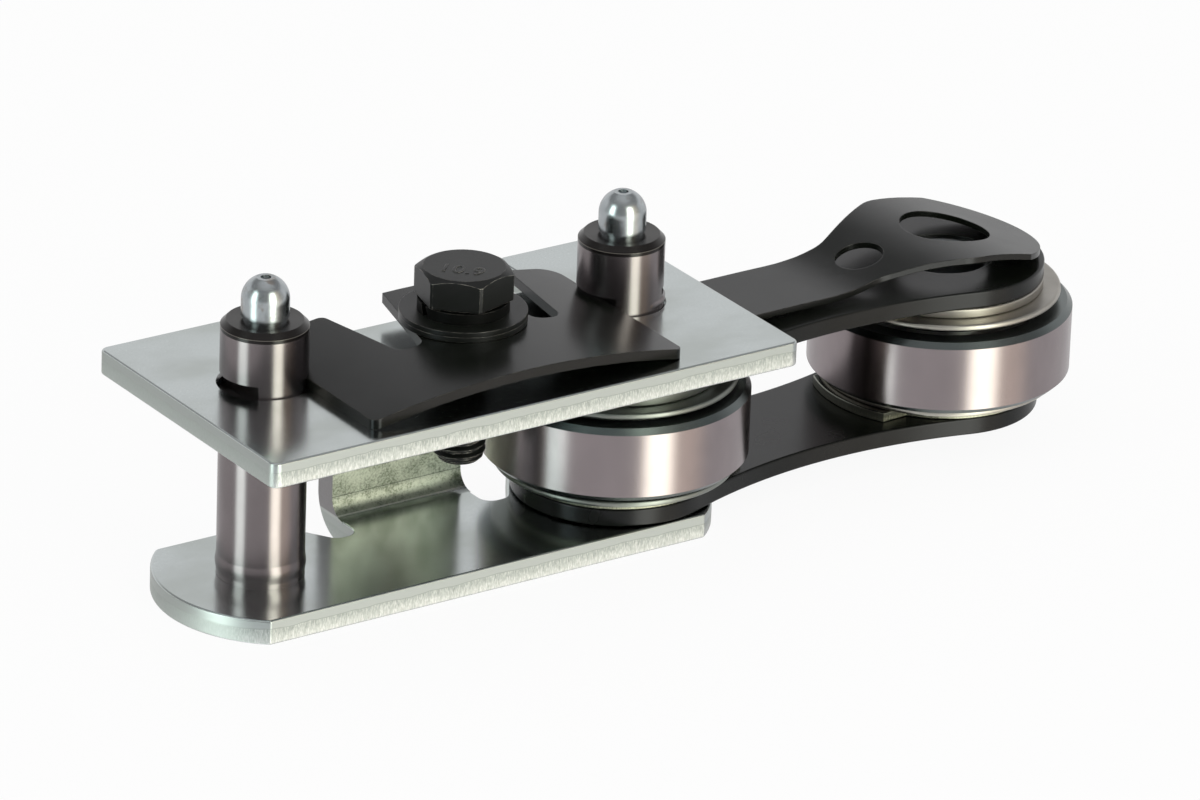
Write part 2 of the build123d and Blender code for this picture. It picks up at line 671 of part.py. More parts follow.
for joint, joint_x in joint_places.items():
    bearing_z = bearing_bottoms[joint]
    ball_z = bearing_z + bearing_width / 2
    section = upright_on_link(joint_x)
    joint_axis = Axis(section.origin, (0, 0, 1))
    inward = 1 if joint == "middle" else -1  # towards the middle of the link

    with BuildPart() as bushing:
        with BuildSketch(on_link(joint_x, lower_link_z + bushing_recess)):
            Circle(bushing_radius)
            Circle(bushing_bore_radius, mode=Mode.SUBTRACT)
        extrude(amount=upper_link_top_z - lower_link_z - 2 * bushing_recess)
        bore_rims = (
            bushing.edges()
            .filter_by(GeomType.CIRCLE)
            .filter_by(lambda e: e.radius < bushing_radius)
        )
        chamfer(bore_rims, bushing_chamfer)
    save(bushing.part, f"{joint}_bushing")

    with BuildPart() as inner_ring:
        with BuildSketch(on_link(joint_x, bearing_z)):
            Circle(inner_ring_diameter / 2)
            Circle(bushing_seat, mode=Mode.SUBTRACT)
        extrude(amount=bearing_width)
        with BuildSketch(section):
            with Locations((ball_circle_radius, ball_z)):
                Circle(race_radius)
        revolve(axis=joint_axis, mode=Mode.SUBTRACT)
    save(inner_ring.part, f"{joint}_inner_ring")

    with BuildPart() as outer_ring:
        with BuildSketch(on_link(joint_x, bearing_z)):
            Circle(bearing_diameter / 2)
        extrude(amount=bearing_width)
        chamfer(outer_ring.faces().filter_by(Axis.Z).edges(), bearing_chamfer)
        with BuildSketch(on_link(joint_x, bearing_z)):
            Circle(outer_ring_bore / 2)
        extrude(amount=bearing_width, mode=Mode.SUBTRACT)
        with BuildSketch(section):
            with Locations((ball_circle_radius, ball_z)):
                Circle(race_radius)
        revolve(axis=joint_axis, mode=Mode.SUBTRACT)
    save(outer_ring.part, f"{joint}_outer_ring")

    with BuildPart(on_link(joint_x, ball_z)) as ball_set:
        with PolarLocations(ball_circle_radius, ball_count):
            Sphere(ball_diameter / 2)
    save(ball_set.part, f"{joint}_ball_set")

    with BuildPart(on_link(joint_x, ball_z)) as ball_cage:
        with BuildSketch(on_link(joint_x, ball_z - cage_width / 2)):
            Circle(ball_circle_radius + cage_wall / 2)
            Circle(ball_circle_radius - cage_wall / 2, mode=Mode.SUBTRACT)
        extrude(amount=cage_width)
        with PolarLocations(ball_circle_radius, ball_count):
            Cylinder(
                ball_diameter / 2 + cage_pocket_clearance,
                2 * cage_wall,
                rotation=(0, 90, 0),
                mode=Mode.SUBTRACT,
            )
    save(ball_cage.part, f"{joint}_ball_cage")

    for level, shield_z, hub_z, spacer_z in (
        ("lower", lower_shield_z, lower_shield_z + shield_thickness, lower_link_top_z),
        ("upper", upper_shield_z, upper_hub_z, upper_spacer_z),
    ):
        with BuildPart() as shield:
            with BuildSketch(on_link(joint_x, shield_z)):
                Circle(shield_diameter / 2)
            extrude(amount=shield_thickness)
            fillet(shield.edges(), shield_edge_radius)
            with BuildSketch(on_link(joint_x, hub_z)):
                Circle(shield_hub_diameter / 2)
            extrude(amount=shield_step)
            with BuildSketch(on_link(joint_x, shield_z - shield_step)):
                Circle(bushing_seat)
            extrude(amount=shield_thickness + 2 * shield_step, mode=Mode.SUBTRACT)
        save(shield.part, f"{joint}_{level}_shield")

        with BuildPart() as spacer:
            with BuildSketch(on_link(joint_x, spacer_z)):
                Circle(spacer_lug_radius)
                with Locations((inward * spacer_lug_radius / 2, 0)):
                    Rectangle(spacer_lug_radius, spacer_lug_width, mode=Mode.INTERSECT)
                Circle(spacer_diameter / 2)
            extrude(amount=spacer_thickness)
            fillet(spacer.faces().filter_by(Axis.Z).edges(), spacer_edge_radius)
            with BuildSketch(on_link(joint_x, spacer_z)):
                Circle(bushing_seat)
            extrude(amount=spacer_thickness, mode=Mode.SUBTRACT)
        save(spacer.part, f"{joint}_{level}_spacer")

# ---------------------------------------------------------------- leaf spring
# Seen from the side the leaf lies just over the link plate, is pressed flat under the
# top outer plate at the middle joint, and arches up freely at the end joint.
leaf_pressed_lift = leaf_room - leaf_thickness - side_clearance
leaf_cut_height = leaf_head_lift + 3 * leaf_thickness  # passes through the whole arch
leaf_side_points = [
    (-leaf_end_radius, leaf_seat),
    (-leaf_end_radius / 2, leaf_pressed_lift * leaf_tail_share),
    (0, leaf_pressed_lift),
    (leaf_flare_start, (leaf_pressed_lift + leaf_middle_lift) / 2),
    (half_pitch, leaf_middle_lift),
    (pitch - leaf_flare_start - leaf_flare_end, leaf_middle_lift * leaf_foot_share),
    (pitch - leaf_crown_place - leaf_shoulder_place, leaf_head_lift * leaf_shoulder_share),
    (pitch - leaf_crown_place, leaf_head_lift),
    (pitch + leaf_crown_place, leaf_head_lift * leaf_nose_share),
    (pitch + leaf_end_radius, leaf_seat),
]
leaf_section = upright_on_link(0)
with BuildPart() as leaf_spring:
    with BuildSketch(leaf_section.offset(-leaf_head_half_width)):
        with BuildLine():
            lower = Spline([(x, upper_link_top_z + lift) for x, lift in leaf_side_points])
            upper = Spline(
                [(x, upper_link_top_z + lift + leaf_thickness) for x, lift in leaf_side_points]
            )
            Line(lower @ 0, upper @ 0)
            Line(lower @ 1, upper @ 1)
        make_face()
    extrude(amount=2 * leaf_head_half_width)
    with BuildSketch(on_link(0, upper_link_top_z)) as leaf_outline:
        with BuildLine():
            half_outline = [
                (half_pitch, leaf_waist),
                (leaf_flare_start, leaf_waist),
                (leaf_flare_end, leaf_head_half_width),
                (-leaf_end_radius, leaf_head_half_width),
            ]
            mirrored = [(pitch - x, y) for x, y in reversed(half_outline)]
            far_side = mirrored + half_outline[1:]
            Polyline(*far_side, *[(x, -y) for x, y in reversed(far_side)], close=True)
        make_face()
        flare_ends = leaf_outline.vertices().filter_by(
            lambda v: leaf_flare_end - 0.01 < abs(v.X - pitch) < leaf_flare_start + 0.01
            or leaf_flare_end - 0.01 < abs(v.X) < leaf_flare_start + 0.01
        )
        fillet(flare_ends, leaf_flare_radius)
        with Locations((0, 0), (pitch, 0)):
            Circle(leaf_pin_hole / 2, mode=Mode.SUBTRACT)
        with Locations((leaf_round_hole_place, 0), (pitch - leaf_round_hole_place, 0)):
            Circle(leaf_round_hole / 2, mode=Mode.SUBTRACT)
    extrude(amount=leaf_cut_height, mode=Mode.INTERSECT)
    with BuildSketch(on_link(0, upper_link_top_z)):
        Circle(leaf_end_radius)
        with Locations((pitch, 0)):
            Circle(leaf_end_radius)
        with Locations((half_pitch, 0)):
            Rectangle(pitch, 2 * leaf_end_radius)
    extrude(amount=leaf_cut_height, mode=Mode.INTERSECT)
save(leaf_spring.part, "leaf_spring")
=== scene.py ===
"""Looks of the roller chain section: finishes, small fittings, light and camera around its frame.

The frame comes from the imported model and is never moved. Lengths in this file are metres,
written as millimetres times MM where a maker would say millimetres.
"""

import logging
import math
from collections.abc import Callable, Iterable, Sequence
from dataclasses import dataclass
from enum import Enum
from functools import partial
from typing import Any

import bpy
from mathutils import Matrix, Vector, noise


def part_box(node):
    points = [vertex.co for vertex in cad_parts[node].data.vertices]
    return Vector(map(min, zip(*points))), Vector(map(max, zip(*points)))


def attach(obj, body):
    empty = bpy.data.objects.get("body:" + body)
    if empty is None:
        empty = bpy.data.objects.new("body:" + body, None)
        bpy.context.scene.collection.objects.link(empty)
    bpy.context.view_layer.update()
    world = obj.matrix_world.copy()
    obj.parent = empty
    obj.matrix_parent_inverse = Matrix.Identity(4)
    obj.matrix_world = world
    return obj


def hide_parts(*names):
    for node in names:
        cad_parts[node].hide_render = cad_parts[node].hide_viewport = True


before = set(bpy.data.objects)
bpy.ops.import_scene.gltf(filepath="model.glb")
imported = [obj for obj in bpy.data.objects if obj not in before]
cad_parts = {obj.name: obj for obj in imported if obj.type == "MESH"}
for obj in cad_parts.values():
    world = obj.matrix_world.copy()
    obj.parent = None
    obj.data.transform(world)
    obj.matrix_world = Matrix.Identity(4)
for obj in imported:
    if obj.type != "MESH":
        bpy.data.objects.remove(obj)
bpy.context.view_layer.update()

MM = 0.001
UP = (0, 0, 1)
LENGTHWISE = (1, 0, 0)
LEVEL_PART = (1, 1, 0)
BEVEL_SAMPLES = 6
SMOOTH = {"interpolation_type": "SMOOTHSTEP"}
COLOUR_MIX = {"output": 2, "data_type": "RGBA"}
log = logging.getLogger("chain_section")

Colour = tuple[float, float, float, float]
Triple = tuple[float, float, float]
Range = tuple[float, float]
Socket = bpy.types.NodeSocket
Node = Callable[..., Socket]
Row = Callable[[float], tuple[float, float]]


class Body(Enum):
    """The moving body that new pieces ride on."""

    OUTER_LINK = "outer_link"


class Slot(Enum):
    """Names of material slots in the record; no piece here is given one."""

    FASTENER = "black_fastener"
    PIN = "ground_pin"


class Level(Enum):
    """Where a shield or spacer lies on its bearing."""

    LOWER = "lower"
    UPPER = "upper"


# ------------------------------------------------------------------ helpers
def linear(code: str) -> Colour:
    """Turn an sRGB hex code into the linear colour that shaders take.

    Args:
        code: six hex digits with a leading hash.

    Returns:
        Linear red, green and blue, and an alpha of 1.
    """
    channels = [int(code[i : i + 2], 16) / 255 for i in (1, 3, 5)]
    red, green, blue = (
        c / 12.92 if c <= 0.04045 else ((c + 0.055) / 1.055) ** 2.4 for c in channels
    )
    return red, green, blue, 1.0


@dataclass(frozen=True)
class Box:
    """The lowest and highest corner of a frame node."""

    low: Vector
    high: Vector

    @property
    def centre(self) -> Vector:
        """Middle of the box."""
        return (self.low + self.high) / 2

    @property
    def size(self) -> Vector:
        """Lengths of the box along X, Y and Z."""
        return self.high - self.low


def box_of(node: str) -> Box:
    """Measure a frame node at rest.

    Args:
        node: name of the node in the frame.

    Returns:
        Its box in metres.
    """
    low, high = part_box(node)
    return Box(Vector(low), Vector(high))


def add(
    tree: bpy.types.NodeTree,
    kind: str,
    inputs: dict[str | int, Any] | None = None,
    output: str | int = 0,
    **settings: Any,
) -> Socket:
    """Add a shader node with its settings, its socket values and its links.

    Args:
        tree: node tree that takes the node.
        kind: type name without the ShaderNode prefix.
        inputs: socket name or number, with a constant or the socket to link from.
        output: name or number of the output socket that is wanted.
        settings: attributes of the node.

    Returns:
        The output socket.
    """
    node = tree.nodes.new("ShaderNode" + kind)
    for name, value in settings.items():
        setattr(node, name, value)
    for socket, value in (inputs or {}).items():
        if isinstance(value, Socket):
            tree.links.new(value, node.inputs[socket])
        else:
            node.inputs[socket].default_value = value
    return node.outputs[output]


@dataclass(frozen=True)
class Ramp:
    """How a share follows a value: its least at the start of a range and its most at the end."""

    start: float
    end: float
    most: float = 1.0
    least: float = 0.0

    def over(self, value: Socket) -> dict[str, Any]:
        """Give the inputs of a map range node that turns a value into the share.

        Args:
            value: socket with the value.

        Returns:
            Socket names, with constants and the value.
        """
        return {
            "Value": value,
            "From Min": self.start,
            "From Max": self.end,
            "To Min": self.least,
            "To Max": self.most,
        }


@dataclass(frozen=True)
class Grain:
    """Noise whose cells have a real size on the piece, in millimetres along X, Y and Z."""

    size: Triple
    detail: float = 2.0
    rough: float = 0.5
    seed: float = 0.0

    def lay(self, node: Node) -> Socket:
        """Lay the noise on the piece.

        Args:
            node: adds a node to the material.

        Returns:
            Socket with the noise value, about 0 to 1.
        """
        place = node("TexCoord", output="Object")
        scale = [1 / (length * MM) for length in self.size]
        mapped = node("Mapping", {"Vector": place, "Scale": scale, "Location": [self.seed] * 3})
        return node(
            "TexNoise",
            {"Vector": mapped, "Scale": 1.0, "Detail": self.detail, "Roughness": self.rough},
        )


def sharp_edges(node: Node, radius: float) -> Socket:
    """Find sharp edges, where handling rubs a finish bright.

    Args:
        node: adds a node to the material.
        radius: how far from the edge the wear reaches, in metres.

    Returns:
        Socket that is 0 on flat faces and near 1 on an edge.
    """
    edge_cosines = Ramp(0.992, 0.95)
    rounded = node("Bevel", {"Radius": radius}, samples=BEVEL_SAMPLES)
    plain = node("NewGeometry", output="Normal")
    bend = node("VectorMath", {0: rounded, 1: plain}, "Value", operation="DOT_PRODUCT")
    return node("MapRange", edge_cosines.over(bend), **SMOOTH)


def facing(node: Node, way: Triple, cosines: Ramp) -> Socket:
    """Tell faces that look along a line, either way, from the rest.

    Args:
        node: adds a node to the material.
        way: unit vector of the line.
        cosines: how the share follows the cosine between face and line.

    Returns:
        Socket with the share.
    """
    normal = node("NewGeometry", output="Normal")
    cosine = node("VectorMath", {0: normal, 1: way}, "Value", operation="DOT_PRODUCT")
    size = node("Math", {0: cosine}, operation="ABSOLUTE")
    return node("MapRange", cosines.over(size), **SMOOTH)


def height(node: Node) -> Socket:
    """Read the height of a point of the piece.

    Args:
        node: adds a node to the material.

    Returns:
        Socket with the height in metres.
    """
    place = node("TexCoord", output="Object")
    return node("SeparateXYZ", {0: place}, "Z")


# ------------------------------------------------------------------ finishes
@dataclass(frozen=True)
class Finish:
    """A surface treatment, which makes one material."""

    name: str

    def material(self) -> bpy.types.Material:
        """Build the material once and give it back on later calls.

        Returns:
            The material with its nodes.
        """
        made = bpy.data.materials.get(self.name)
        if made is None:
            made = bpy.data.materials.new(self.name)
            made.use_nodes = True
            tree = made.node_tree
            shader = tree.nodes["Principled BSDF"]
            for socket, value in self.paint(partial(add, tree)).items():
                if isinstance(value, Socket):
                    tree.links.new(value, shader.inputs[socket])
                else:
                    shader.inputs[socket].default_value = value
        return made

    def paint(self, node: Node) -> dict[str, Any]:
        """Work out the shader's sockets; each finish has its own way.

        Args:
            node: adds a node to the material.

        Returns:
            Shader socket names, with constants or sockets.
        """
        raise NotImplementedError


@dataclass(frozen=True)
class SheetLook:
    """What varies over a sheet: its colour, its roughness and its fine relief."""

    colour: Socket
    rough: Socket
    relief: Socket


@dataclass(frozen=True)
class ZincPlatedSheet(Finish):
    """Sheared steel plate, zinc plated and clear passivated.

    The faces are a soft blue-grey mirror. A sheared edge has a smooth burnished band above
    and a torn band below with upright tear marks and painted glints, paler towards its foot,
    and a thin wavy step between them. A painted highlight runs along the top arris. The short
    ends are smoother, and greyer with painted shade.

    Heights on an edge are shares of the thickness, from the lower face.
    """

    bottom: float
    top: float
    face: str = "#c6cccd"
    cloud: str = "#b7bdbb"
    burnish: str = "#a6acad"
    fracture: str = "#989d9c"
    # Colour of the painted glints in the torn band.
    painted_glint: str = "#cfd0d1"
    crevice: str = "#6d726b"
    shaded_short_end: str = "#a8aca8"
    # Colour of the painted highlights along the top arris and along the foot of a bend.
    painted_highlight: str = "#f4f4f0"
    # Zinc clouds are some 20 mm across and the passivated crystals 0.4 mm.
    clouds: Grain = Grain((22, 15, 22), detail=3)
    crystals: Grain = Grain((0.4, 0.4, 0.4), detail=3, rough=0.7)
    # Tear marks are 0.24 mm wide and run some way up the torn band.
    tears: Grain = Grain((0.24, 0.24, 0.9), detail=3, rough=0.6, seed=3)
    wander: Grain = Grain((6, 6, 60), detail=2, seed=7)
    face_cosines: Ramp = Ramp(0.45, 0.75)
    end_cosines: Ramp = Ramp(0.6, 0.9)
    cloudy: Ramp = Ramp(0.35, 0.7)
    speckled: Ramp = Ramp(0.62, 0.40, most=0.35)
    step_height: float = 0.50
    step_sway: float = 0.24
    torn: Ramp = Ramp(0.02, -0.05)
    step_line: Ramp = Ramp(0.03, 0.0, most=0.45)
    glint_flecked: Ramp = Ramp(0.42, 0.72, most=0.6)
    pale_foot: Ramp = Ramp(0.60, 0.05, most=0.5)
    pitted: Ramp = Ramp(0.42, 0.28, most=0.4)
    arris_highlight: Ramp = Ramp(0.93, 0.97)
    end_share: float = 0.8
    face_roughness: float = 0.15
    face_spread: float = 0.08
    edge_roughness: float = 0.36
    torn_spread: float = 0.12
    crystal_relief: float = 0.05
    relief_depth: float = 0.02 * MM

    def paint(self, node: Node) -> dict[str, Any]:
        """Give the sheet's look to the shader.

        Args:
            node: adds a node to the material.

        Returns:
            Shader sockets of the sheet.
        """
        look = self.look(node)
        return {
            "Base Color": look.colour,
            "Metallic": 1.0,
            "Roughness": look.rough,
            "Normal": node("Bump", {"Height": look.relief, "Distance": self.relief_depth}),
        }

    def look(self, node: Node) -> SheetLook:
        """Work out the sheet's faces and its sheared edges.

        Args:
            node: adds a node to the material.

        Returns:
            Look of the flat sheet.
        """
        clouds = self.clouds.lay(node)
        crystals = self.crystals.lay(node)
        tears = self.tears.lay(node)
        flat = facing(node, UP, self.face_cosines)
        side = node("Math", {0: 1.0, 1: flat}, operation="SUBTRACT")
        span = {"Value": height(node), "From Min": self.bottom, "From Max": self.top}
        part = node("MapRange", span)
        step = {0: self.wander.lay(node), 1: self.step_sway, 2: self.step_height}
        step = node("Math", step, operation="MULTIPLY_ADD")
        above = node("Math", {0: part, 1: step}, operation="SUBTRACT")
        torn = node("MapRange", self.torn.over(above), **SMOOTH)

        cloudy = node("MapRange", self.cloudy.over(clouds), **SMOOTH)
        specks = node("MapRange", self.speckled.over(crystals), **SMOOTH)
        pair = {6: linear(self.face), 7: linear(self.cloud)}
        face = node("Mix", {0: cloudy, **pair}, **COLOUR_MIX)
        face = node("Mix", {0: specks, 6: face, 7: linear(self.cloud)}, **COLOUR_MIX)
        edge = self.edge_colour(node, part, above, torn, tears)
        colour = node("Mix", {0: side, 6: face, 7: edge}, **COLOUR_MIX)

        on_face = {0: clouds, 1: self.face_spread, 2: self.face_roughness}
        on_face = node("Math", on_face, operation="MULTIPLY_ADD")
        on_edge = {0: torn, 1: self.torn_spread, 2: self.edge_roughness}
        on_edge = node("Math", on_edge, operation="MULTIPLY_ADD")
        rough = node("Mix", {0: side, 2: on_face, 3: on_edge}, data_type="FLOAT")

        rugged = node("Math", {0: torn, 1: side}, operation="MULTIPLY")
        relief = node("Math", {0: tears, 1: rugged}, operation="MULTIPLY")
        relief = {0: crystals, 1: self.crystal_relief, 2: relief}
        return SheetLook(colour, rough, node("Math", relief, operation="MULTIPLY_ADD"))

    def edge_colour(
        self, node: Node, part: Socket, above: Socket, torn: Socket, tears: Socket
    ) -> Socket:
        """Colour the sheared edges and the short ends.

        Args:
            node: adds a node to the material.
            part: height as a share of the thickness.
            above: how far above the wavy step the point lies, in the same shares.
            torn: share of the torn band.
            tears: noise of the tear marks.

        Returns:
            Socket with the colour.
        """
        off_line = node("Math", {0: above}, operation="ABSOLUTE")
        line = node("MapRange", self.step_line.over(off_line), **SMOOTH)
        # Painted glints: bright flecks in the torn band, growing paler towards its foot.
        glint_flecks = node("MapRange", self.glint_flecked.over(tears), **SMOOTH)
        pale = node("MapRange", self.pale_foot.over(part), **SMOOTH)
        glint_flecks = node("Math", {0: glint_flecks, 1: pale}, operation="ADD", use_clamp=True)
        pits = node("MapRange", self.pitted.over(tears), **SMOOTH)
        # Painted highlight: a bright line along the top arris of the edge.
        arris_highlight = node("MapRange", self.arris_highlight.over(part), **SMOOTH)
        arris_highlight = node("Math", {0: arris_highlight, 1: tears}, operation="MULTIPLY")
        # The short ends are smoother, and greyer with painted shade.
        ends = facing(node, LENGTHWISE, self.end_cosines)
        ends = node("Math", {0: ends, 1: self.end_share}, operation="MULTIPLY")
        pair = {6: linear(self.fracture), 7: linear(self.painted_glint)}
        rift = node("Mix", {0: glint_flecks, **pair}, **COLOUR_MIX)
        rift = node("Mix", {0: pits, 6: rift, 7: linear(self.crevice)}, **COLOUR_MIX)
        edge = node("Mix", {0: torn, 6: linear(self.burnish), 7: rift}, **COLOUR_MIX)
        edge = node("Mix", {0: line, 6: edge, 7: linear(self.crevice)}, **COLOUR_MIX)
        edge = node("Mix", {0: arris_highlight, 6: edge, 7: linear(self.painted_highlight)}, **COLOUR_MIX)
        return node("Mix", {0: ends, 6: edge, 7: linear(self.shaded_short_end)}, **COLOUR_MIX)


@dataclass(frozen=True)
class BentZincSheet(ZincPlatedSheet):
    """Zinc-plated sheet with a tab bent up from it.

    The stretched zinc of the tab is frosted and blotched. Painted shade darkens the bend, a
    painted dark line runs along the top of the bend and a painted highlight along its foot.
    """

    bend: float = 3.7 * MM
    frost: str = "#d0d6c9"
    blotch: str = "#7b8474"
    # Colour of the painted shade in the bend and along its top.
    bend_shade: str = "#39403a"
    tab_side: str = "#8a8788"
    # The frosting is half a millimetre across and its blotches some 5 mm.
    frosting: Grain = Grain((0.5, 0.5, 0.5), detail=4, rough=0.75, seed=19)
    blotches: Grain = Grain((5, 5, 5), detail=2, seed=23)
    blotch_share: float = 0.7
    frosted: Ramp = Ramp(0.62, 1.0)
    foot_rise: float = 0.2 * MM
    foot_blur: float = 0.3 * MM
    bend_reach: Range = (0.1 * MM, -0.3 * MM)
    bend_shade_share: float = 0.25
    crease_shade_width: float = 0.16 * MM
    crease_shade_share: float = 0.7
    shine_rise: float = 0.25 * MM
    shine_width: float = 0.15 * MM
    shine_share: float = 0.8
    tab_roughness: float = 0.30
    frost_spread: float = 0.12
    frost_relief: float = 0.5

    def look(self, node: Node) -> SheetLook:
        """Lay the tab's look over that of the flat sheet.

        Args:
            node: adds a node to the material.

        Returns:
            Look of the sheet and its tab.
        """
        sheet = super().look(node)
        level = height(node)
        foot = self.top + self.foot_rise
        raised = node("MapRange", Ramp(foot, foot + self.foot_blur).over(level), **SMOOTH)
        speckle = {0: self.blotches.lay(node), 1: self.blotch_share, 2: self.frosting.lay(node)}
        speckle = node("Math", speckle, operation="MULTIPLY_ADD")
        speckle = node("MapRange", self.frosted.over(speckle), **SMOOTH)
        tab = self.tab_colour(node, level, speckle, foot)
        colour = node("Mix", {0: raised, 6: sheet.colour, 7: tab}, **COLOUR_MIX)

        matt = {0: speckle, 1: self.frost_spread, 2: self.tab_roughness}
        matt = node("Math", matt, operation="MULTIPLY_ADD")
        rough = node("Mix", {0: raised, 2: sheet.rough, 3: matt}, data_type="FLOAT")

        frosty = node("Math", {0: speckle, 1: raised}, operation="MULTIPLY")
        relief = {0: frosty, 1: self.frost_relief, 2: sheet.relief}
        return SheetLook(colour, rough, node("Math", relief, operation="MULTIPLY_ADD"))

    def tab_colour(self, node: Node, level: Socket, speckle: Socket, foot: float) -> Socket:
        """Colour the tab, its bend and its sides.

        Args:
            node: adds a node to the material.
            level: socket with the height of the point.
            speckle: share of the frosting.
            foot: height where the tab's look begins, in metres.

        Returns:
            Socket with the colour.
        """
        bent = self.top + self.bend
        start, end = (bent + reach for reach in self.bend_reach)
        # Painted shade darkens the bend, and a painted dark line runs along its top.
        curve = node("MapRange", Ramp(start, end, self.bend_shade_share).over(level), **SMOOTH)
        crease = self.line(node, level, bent, Ramp(self.crease_shade_width, 0.0, self.crease_shade_share))
        # Painted highlight: a bright line along the foot of the bend.
        lit = foot + self.shine_rise
        shine = self.line(node, level, lit, Ramp(self.shine_width, 0.0, self.shine_share))
        ends = facing(node, LENGTHWISE, self.end_cosines)
        pair = {6: linear(self.blotch), 7: linear(self.frost)}
        tab = node("Mix", {0: speckle, **pair}, **COLOUR_MIX)
        tab = node("Mix", {0: curve, 6: tab, 7: linear(self.bend_shade)}, **COLOUR_MIX)
        tab = node("Mix", {0: crease, 6: tab, 7: linear(self.bend_shade)}, **COLOUR_MIX)
        tab = node("Mix", {0: shine, 6: tab, 7: linear(self.painted_highlight)}, **COLOUR_MIX)
        return node("Mix", {0: ends, 6: tab, 7: linear(self.tab_side)}, **COLOUR_MIX)

    def line(self, node: Node, level: Socket, at: float, share: Ramp) -> Socket:
        """Mark a thin level line.

        Args:
            node: adds a node to the material.
            level: socket with the height of the point.
            at: height of the line, in metres.
            share: how the share follows the distance from the line.

        Returns:
            Socket with the share.
        """
        off = node("Math", {0: level, 1: at}, operation="SUBTRACT")
        off = node("Math", {0: off}, operation="ABSOLUTE")
        return node("MapRange", share.over(off), **SMOOTH)


@dataclass(frozen=True)
class BlackOxide(Finish):
    """Hot-blackened steel with a film of oil.

    The oil film shines at a low angle though the skin is nearly black from above. Handling
    rubs its edges to bare steel.
    """

    base: str = "#0d100b"
    tint: str = "#141613"
    bare: str = "#8b8880"
    film: str = "#f6f3ff"
    roughness: float = 0.26
    spread: float = 0.10
    wear: float = 0.35
    pitting: float = 0.35
    index: float = 1.4
    edge: float = 0.25 * MM
    # Clouds of the bath are 9 mm across, scuffs 1.6 mm and the etched pits 0.35 mm.
    clouds: Grain = Grain((9, 9, 9), detail=3)
    scuffs: Grain = Grain((1.6, 1.6, 1.6), detail=3, seed=5)
    pits: Grain = Grain((0.35, 0.35, 0.35), detail=3, rough=0.6)
    cloudy: Ramp = Ramp(0.35, 0.65)
    scuffed: Range = (0.36, 0.62)
    bare_metal: float = 0.8
    pit_depth: float = 0.02 * MM

    def paint(self, node: Node) -> dict[str, Any]:
        """Build the oxide with its worn edges.

        Args:
            node: adds a node to the material.

        Returns:
            Shader sockets of the oxide.
        """
        clouds = self.clouds.lay(node)
        pits = self.pits.lay(node)
        cloudy = node("MapRange", self.cloudy.over(clouds), **SMOOTH)
        scuffed = Ramp(*self.scuffed, self.wear).over(self.scuffs.lay(node))
        patchy = node("MapRange", scuffed, **SMOOTH)
        edges = sharp_edges(node, self.edge / 2)
        rubbed = node("Math", {0: edges, 1: patchy}, operation="MULTIPLY")
        pair = {6: linear(self.base), 7: linear(self.tint)}
        dark = node("Mix", {0: cloudy, **pair}, **COLOUR_MIX)
        rough = {0: clouds, 1: self.spread, 2: self.roughness - self.spread / 2}
        rounded = node("Bevel", {"Radius": self.edge}, samples=BEVEL_SAMPLES)
        relief = {"Height": pits, "Distance": self.pit_depth * self.pitting, "Normal": rounded}
        return {
            "Base Color": node("Mix", {0: rubbed, 6: dark, 7: linear(self.bare)}, **COLOUR_MIX),
            "Metallic": node("Math", {0: rubbed, 1: self.bare_metal}, operation="MULTIPLY"),
            "Roughness": node("Math", rough, operation="MULTIPLY_ADD"),
            "IOR": self.index,
            "Specular Tint": linear(self.film),
            "Normal": node("Bump", relief),
        }


